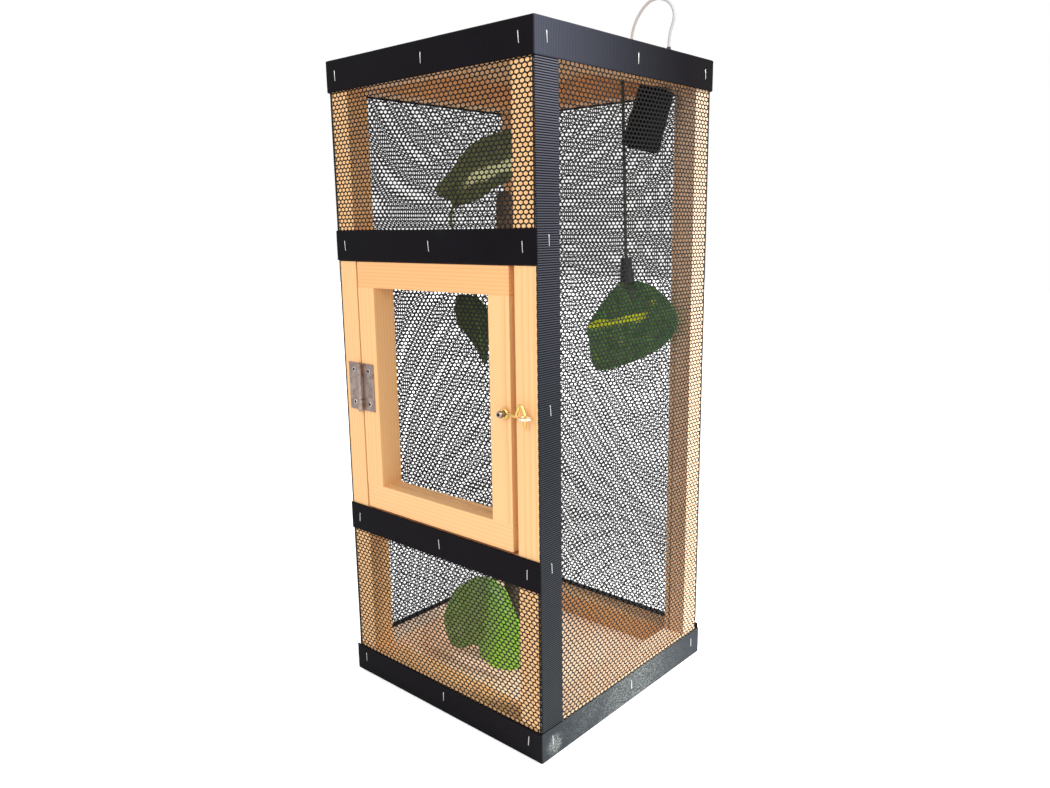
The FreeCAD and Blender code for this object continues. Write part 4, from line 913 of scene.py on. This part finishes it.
# Timber
PINE_X = pine("pine_across", 0, (3.1, 9.4, -7.7), (0.89, 0.46, 0.19), (0.70, 0.30, 0.095))
PINE_X_LOW = pine("pine_across_low", 0, (1.3, -6.2, 11.0))
PINE_Y = pine("pine_deep", 1, (8.3, 2.0, 6.1))
PINE_Z = pine("pine_upright", 2, (-9.2, 7.3, 1.1))
PINE_Z_LEFT = pine("pine_upright_left", 2, (7.9, 11.2, 3.4))
# Paler copies of the pine and the panel for the back right post, the floor and the side bottom rails: partly
# their own paler tone, partly painted light falling on them from the right
PINE_Z_PALE_LIT = pine("pine_upright_pale_lit", 2, (-4.2, 3.3, 5.1), (1.0, 0.72, 0.50), (0.86, 0.53, 0.31))
PLYWOOD_PALE_LIT = pine("floor_board_pale_lit", 1, (12.0, 7.0, 3.0), (0.97, 0.76, 0.57), (0.88, 0.62, 0.42))
PLYWOOD = pine("panel", 1, (20.0, 4.0, 31.0), (0.86, 0.55, 0.28), (0.72, 0.40, 0.17))
STICK_EDGE = 0.0006
BOARD_EDGE = 0.0004
dress(["bottom_rail_back", "bottom_rail_front", "top_rail_front"], PINE_X_LOW, STICK_EDGE)
dress(["lower_cross_rail", "door_rail_bottom"], PINE_X_LOW, STICK_EDGE)
dress(["top_rail_back", "upper_cross_rail", "door_rail_top"], PINE_X, STICK_EDGE)
dress(["top_rail_left", "top_rail_right"], PINE_Y, STICK_EDGE)
dress(["post_front_right", "door_stile_latch"], PINE_Z, STICK_EDGE)
# The back right post, the side bottom rails and the floor take the paler copies, partly painted light
dress(["post_back_right"], PINE_Z_PALE_LIT, STICK_EDGE)
dress(["post_back_left", "post_front_left", "door_stile_hinge"], PINE_Z_LEFT, STICK_EDGE)
dress(["bottom_rail_left", "bottom_rail_right"], PLYWOOD_PALE_LIT, STICK_EDGE)
dress(["top_panel"], PLYWOOD, BOARD_EDGE)
dress(["floor_panel"], PLYWOOD_PALE_LIT, BOARD_EDGE)

# Metal, plastic, glass and bark
STEEL = metal("staple_steel", (0.80, 0.80, 0.78), (0.55, 0.54, 0.52), 0.25)
ZINC = metal("screw_steel", (0.66, 0.63, 0.58), (0.45, 0.42, 0.37), 0.35)
HINGE = metal("hinge_steel", (0.49, 0.39, 0.345), (0.22, 0.165, 0.155), 0.34, 150.0, 0.85)
BRASS = metal("brass", (0.90, 0.64, 0.22), (0.62, 0.38, 0.10), 0.22, 150.0, 0.7)
EYE_BRASS = metal("eye_brass", (0.93, 0.86, 0.66), (0.80, 0.66, 0.36), 0.16, 220.0, 0.6)
BLACK_PAINT = metal(
    "lamp_black", (0.005, 0.005, 0.0055), (0.011, 0.011, 0.012), 0.5,
    wear_scale=80.0, metallic=0.0, sheen=0.08,
)
CORD_PALE = plastic("cord_pale", (0.47, 0.49, 0.53), 0.42)
PLUG_PALE = plastic("plug_pale", (0.62, 0.59, 0.60), 0.4)
GROMMET = plastic("grommet_black", (0.02, 0.02, 0.021), 0.5)
dress(["frame_screws", "panel_screws", "door_screws"], ZINC)
dress(["hinge_frame_leaf", "hinge_door_leaf", "hinge_pin"], HINGE, 0.00025)
# Screw heads of the hinge and the latch pivot, with painted shade in their recesses and round their rims
for name in ("hinge_frame_screws", "hinge_door_screws"):
    dress([name], screw_heads(name, (0.90, 0.80, 0.74), (0.03, 0.018, 0.015), 0.003, 0.0015))
PIVOT = screw_heads("latch_pivot_screw", (0.52, 0.43, 0.38), (0.045, 0.022, 0.022), 0.0035, 0.0013)
dress(["latch_pivot_screw"], PIVOT, 0.0002)
dress(["latch_hook"], BRASS)
dress(["latch_eye"], EYE_BRASS)
dress(["lamp_housing", "lamp_nuts"], BLACK_PAINT, 0.0004)
dress(["lamp_stem"], BLACK_PAINT)
dress(["lamp_bulb"], lamp_glass())
dress(["lamp_lead"], CORD_PALE)
dress(["cord_grommet"], GROMMET, 0.0003)
dress(["plug"], PLUG_PALE)
dress(["branch"], bark())

# Nets, on the wood's outer faces and the door's inner one, and how far out they reach
RIGHT, LEFT, FRONT, BACK = (1, 0, 0), (-1, 0, 0), (0, -1, 0), (0, 1, 0)
NETTING = netting()
net("front_top", RIGHT, FRONT)
net("front_bottom", RIGHT, FRONT)
net("back", LEFT, BACK)
net("left", FRONT, LEFT)
net("right", BACK, RIGHT)
net("door", LEFT, BACK, "door", 0.93)
NET_X, NET_Y = box("net_right")[1][0], -box("net_front_top")[0][1]

# Webbing: upright bands and those on the cross rails lie on the nets, and the longer ones over them
# The top and cross straps carry a painted sheen on their right face, and the upright bands carry painted
# highlights on their rib crests
WEBBING = webbing("webbing", "face")
WEBBING_UP = webbing("webbing_upright", "ribs")
WEBBING_LOW = webbing("webbing_low", None, 0.7)
IN_X, IN_Y = box("side_webbing_right")[1][0], -box("upper_middle_strap")[0][1]
SEAM_X = -20
OVER_CORNER = 1.2
SHORT_OF_CORNER = 2.7
ring = [(SEAM_X, -IN_Y), (IN_X, -IN_Y), (IN_X, IN_Y), (-IN_X, IN_Y), (-IN_X, -IN_Y), (SEAM_X, -IN_Y)]
front_right = [(-IN_X - OVER_CORNER, -IN_Y), (IN_X, -IN_Y), (IN_X, IN_Y + OVER_CORNER)]
rear_left = [(IN_X, IN_Y), (-IN_X, IN_Y), (-IN_X, -IN_Y + SHORT_OF_CORNER)]
cross = [(-IN_X, -NET_Y), (IN_X, -NET_Y)]
level_band("webbing_top", "top_strap", ring, WEBBING, True)
level_band("webbing_bottom_front", "bottom_strap_front_right", front_right, WEBBING_LOW)
level_band("webbing_bottom_rear", "bottom_strap_rear_left", rear_left, WEBBING_LOW)
level_band("webbing_upper_middle", "upper_middle_strap", cross, WEBBING)
level_band("webbing_lower_middle", "lower_middle_strap", cross, WEBBING)
for side, out in (("left", LEFT), ("right", RIGHT)):
    low, high = box("side_webbing_" + side)
    line = []
    for number in range(int((high[2] - low[2]) / RIB_STEP)):
        place = Vector((out[0] * NET_X, -NET_Y, low[2] + number * RIB_STEP))
        line.append((place, Vector(out), Vector(BACK)))
    band("webbing_" + side, "side_webbing_" + side, line, WEBBING_UP, UPRIGHT_RIB)

# Staples: a crown and two legs bent from round wire, each a little askew

CROWN_HALF = 4.65
LEG_DEEP = 2.6
WIRE_RADIUS = 0.38
SMALL_LEAN, LARGE_LEAN = 0.1, 0.14


def staple_line(middle, out, lean_limit):
    """The line of a staple's wire, leaning either way by up to lean_limit radians."""
    middle, out = Vector(middle), Vector(out)
    along = Vector((abs(out.y), abs(out.x), 0))
    lean = random.uniform(-lean_limit, lean_limit)
    up = (Vector((0, 0, 1)) * math.cos(lean) + along * math.sin(lean)).normalized()
    points = []
    # Each leg goes into the wood, and rounds a small bend to the crown
    for sign in (-1, 1):
        corner = middle + up * (sign * CROWN_HALF)
        leg = [
            corner - out * LEG_DEEP,
            corner - out * 0.4,
            corner - out * 0.1 - up * (sign * 0.12),
            corner + out * 0.05 - up * (sign * 0.45),
        ]
        points += leg if sign < 0 else leg[::-1]
    return points


STAPLE_SHARES = (-0.91, 0.03, 0.9)
CROWN_LIFT = 1.25
UPRIGHT_RAISE = 5
WOOD_X, WOOD_Y, _ = box("post_back_right")[1]
OUT_X, OUT_Y = IN_X + CROWN_LIFT, IN_Y + CROWN_LIFT
TOP = box("top_strap")[0][2] + BAND_WIDE / 2
BOTTOM = (box("bottom_strap_front_right")[0][2] + box("bottom_strap_rear_left")[1][2]) / 2
UPPER, LOWER = (box(level + "_middle_strap")[0][2] + BAND_WIDE / 2 for level in ("upper", "lower"))
lines = []
for level in (TOP, BOTTOM):
    for share in STAPLE_SHARES:
        x, y = WOOD_X * share, WOOD_Y * share
        lines.append(staple_line((x, -OUT_Y, level), FRONT, SMALL_LEAN))
        lines.append(staple_line((x, OUT_Y, level), BACK, SMALL_LEAN))
        lines.append(staple_line((-OUT_X, y, level), LEFT, SMALL_LEAN))
        lines.append(staple_line((OUT_X, y, level), RIGHT, SMALL_LEAN))
for level in (UPPER, LOWER):
    for share in STAPLE_SHARES:
        lines.append(staple_line((WOOD_X * share, -NET_Y - CROWN_LIFT, level), FRONT, LARGE_LEAN))
for level in (UPPER, (UPPER + LOWER) / 2, LOWER):
    for out in (LEFT, RIGHT):
        x = out[0] * (NET_X + CROWN_LIFT)
        lines.append(staple_line((x, BAND_WIDE / 2 - NET_Y, level + UPRIGHT_RAISE), out, SMALL_LEAN))
staples = wires("staple_wires", lines, WIRE_RADIUS, STEEL)
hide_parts("staples")
dress(["staples_door"], STEEL)

# Cord
ROUTE = [
    (103.6, 106.1, 663.2), (103.6, 106.1, 675.2), (111.0, 106.0, 692.0), (104.0, 106.3, 706.5),
    (88.0, 107.0, 713.0), (73.0, 107.5, 708.5), (58.5, 108.5, 691.0), (52.5, 113.0, 672.0),
    (58.0, 124.5, 657.5), (78.0, 141.0, 657.0), (94.0, 152.0, 645.0), (98.0, 153.5, 620.0),
    (97.0, 151.0, 578.0), (95.0, 150.0, 528.0), (96.0, 152.0, 477.0), (98.0, 151.0, 426.0),
    (97.0, 149.5, 375.0), (95.0, 150.0, 324.0), (96.0, 152.0, 273.0), (98.0, 153.0, 222.0),
    (97.0, 151.0, 171.0), (95.5, 150.5, 122.0), (96.5, 153.0, 78.0), (98.5, 160.0, 40.0),
    (96.0, 173.0, 14.0), (84.0, 185.0, 3.0), (64.0, 188.5, 1.6),
]


COIL_X, COIL_Y = 55, 165.5
COIL_INNER = 12.5
COIL_STEP = 3.5
COIL_LOW = 1.6
CLIMB_TURN = 3.25
LAST_TURN = 6.18
COIL_POINTS = 86
CORD_RADIUS = 1.5
RUN_OUT = 24
PLUG_RUN = 24.3
PLUG_Y, PLUG_Z = 155.5, 6.85


def coil_point(turn):
    """Turns that close in on the floor, then climb by one layer and open out again on top."""
    past = turn - CLIMB_TURN
    radius = COIL_INNER + COIL_STEP * (abs(past) - 0.25)
    share = min(max(past / 0.5 + 0.5, 0), 1)
    angle = math.radians(90) + 2 * math.pi * turn
    height = COIL_LOW + COIL_STEP * (1 - math.cos(math.pi * share)) / 2
    return (COIL_X + radius * math.cos(angle), COIL_Y + radius * math.sin(angle), height)


path = ROUTE + [coil_point(LAST_TURN * number / COIL_POINTS) for number in range(COIL_POINTS + 1)]
last = Vector(path[-1])
heading = (last - Vector(coil_point(LAST_TURN - 0.001))).normalized()
bend = last + heading * RUN_OUT
path += [tuple(bend), (bend.x - PLUG_RUN, PLUG_Y, PLUG_Z)]
curve = bpy.data.curves.new("lamp_cord", "CURVE")
curve.dimensions = "3D"
curve.bevel_depth = CORD_RADIUS * MM
curve.bevel_resolution = 4
curve.resolution_u = 8
curve.use_fill_caps = True
spline = curve.splines.new("NURBS")
spline.points.add(len(path) - 1)
for point, place in zip(spline.points, path):
    point.co = (place[0] * MM, place[1] * MM, place[2] * MM, 1)
spline.order_u = 3
spline.use_endpoint_u = True
cord = add("lamp_cord", curve)
curve.materials.append(CORD_PALE)
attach(cord, "frame")
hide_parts("cord", "cord_coil")

# Leaves
STEM_GREEN = plastic("stem_green", (0.10, 0.17, 0.045), 0.45)
STEM_DARK = plastic("stem_dark", (0.035, 0.05, 0.025), 0.5)
COLLAR = plastic("collar_black", (0.012, 0.012, 0.013), 0.5)
UPPER_BAND = (-0.014, -0.002, 0.035, 0.13)
MIDDLE_BAND = (-0.002, 0.001, 0.01, 0.06)
HANGING_BAND = (-0.0455, -0.0350, 0.040, 0.15)
# Painted glints on the lower and hanging leaves, each as (along, across, size) in metres
LOWER_SHINE = ((-0.011, 0.005, 0.008), (-0.003, 0.014, 0.008), (0.007, 0.023, 0.007), (0.055, 0.038, 0.009))
HANGING_GLINTS = ((0.036, -0.040, 0.006), (0.076, 0.006, 0.004), (0.111, 0.031, 0.006))
UPPER_GREEN = leaf_green(
    "leaf_upper", (0.14, 0.17, 0.05), (0.065, 0.085, 0.024), (0.82, 0.90, 0.50), UPPER_BAND, 0.32
)
MIDDLE_GREEN = leaf_green(
    "leaf_middle", (0.060, 0.12, 0.018), (0.03, 0.07, 0.010), (0.22, 0.36, 0.07), MIDDLE_BAND, 0.34
)
# The lower leaf has a painted lit half on one side of its fold, and painted glints in its pale colour
LOWER_GREEN = leaf_green(
    "leaf_lower", (0.26, 0.46, 0.15), (0.15, 0.33, 0.08), (0.72, 0.98, 0.66), None, 0.2,
    painted_lit_half=(0.40, 0.98, 0.10), glints=LOWER_SHINE,
)
# The hanging leaf's stripe, with painted glints in its colour
HANGING_GREEN = leaf_green(
    "leaf_hanging", (0.12, 0.29, 0.08), (0.045, 0.14, 0.04), (0.80, 0.98, 0.03), HANGING_BAND, 0.2,
    tilt=-0.30, glints=HANGING_GLINTS,
)


def outlined(shares, x, z, wide, tall):
    """An outline from its points' shares of a box with its lower left corner at x, z."""
    return [(x + wide * a, z + tall * b) for a, b in shares]


UPPER_EDGE = outlined(
    [
        (1.0, 0.93), (0.86, 1.0), (0.59, 0.94), (0.39, 0.83), (0.11, 0.44), (0.0, 0.3), (0.02, 0.18),
        (0.15, 0.09), (0.19, 0.0), (0.30, 0.02), (0.50, 0.1), (0.68, 0.24), (0.86, 0.33), (1.0, 0.6),
    ], -79, 509, 118, 70,
)
MIDDLE_EDGE = outlined(
    [
        (0.11, 0.98), (0.0, 0.64), (0.26, 0.42), (0.62, 0.22), (0.96, 0.0), (1.0, 0.35), (0.99, 0.78),
        (0.79, 0.94), (0.57, 1.0),
    ], -45, 351, 47, 69,
)
LOWER_EDGE = outlined(
    [
        (0.15, 0.68), (0.31, 0.82), (0.49, 0.95), (0.66, 1.0), (0.80, 0.94), (0.87, 0.80), (0.94, 0.6),
        (0.99, 0.43), (1.0, 0.28), (0.97, 0.16), (0.87, 0.05), (0.69, 0.0), (0.56, 0.03), (0.51, 0.08),
        (0.47, 0.16), (0.36, 0.13), (0.27, 0.06), (0.15, 0.04), (0.05, 0.13), (0.0, 0.29), (0.06, 0.5),
    ], -82, 15, 124, 105,
)
HANGING_EDGE = outlined(
    [
        (0.37, 1.0), (0.20, 0.84), (0.0, 0.53), (-0.02, 0.36), (0.06, 0.0), (0.42, 0.09),
        (0.77, 0.28), (0.95, 0.45), (1.0, 0.64), (0.88, 0.83), (0.65, 0.99),
    ], 12, 327, 114, 100,
)
UPPER_STEM = [(-49.5, -49.4, 520.2), (-61.3, -45, 488.0), (-29.4, -37.8, 446.0), (-4.0, -30.0, 432.0)]
MIDDLE_STEM = [(-21.5, -61.4, 409.6), (-7.4, -48.2, 444.2), (1.0, -35.0, 437.3)]
LOWER_STEM = [(-2.6, -61.4, 99.0), (2.3, -48.2, 141.0), (1.0, -35.0, 125.3)]
HANGING_STEM = [
    (54.2, 95.6, 646.5), (58.0, 95.6, 540), (61.0, 95.6, 449.0), (63.0, 95.6, 428.0), (70.0, 95.6, 407.0)
]
COLLAR_LINE = [(60.9, 95.6, 453.0), (61.6, 95.6, 440.0), (63.0, 95.6, 427.0)]
leaf(
    "upper", UPPER_EDGE, (-77, 522), (41, 556), -49.4, (0.5, 0.9, 0.5), UPPER_GREEN,
    (UPPER_STEM, 1.3, 1.9), STEM_GREEN,
)
leaf(
    "middle", MIDDLE_EDGE, (-21.5, 409.6), (-2, 352), -61.4, (0.45, 0.7, 0.3), MIDDLE_GREEN,
    (MIDDLE_STEM, 1.2, 1.8), STEM_GREEN,
)
leaf(
    "lower", LOWER_EDGE, (-2.6, 99.0), (-22, 20), -61.4, (0.75, 0.8, 0.6), LOWER_GREEN,
    (LOWER_STEM, 1.3, 1.9), STEM_GREEN,
)
leaf(
    "hanging", HANGING_EDGE, (130, 372), (10, 373), 95.6, (0.6, 0.9, 0.5), HANGING_GREEN,
    (HANGING_STEM, 1.8, 1.5), STEM_DARK,
)
collar = tapered("leaf_collar", COLLAR_LINE, 5.4, 8.4, COLLAR)

bpy.context.scene.view_settings.view_transform = "Standard"
bpy.context.view_layer.update()
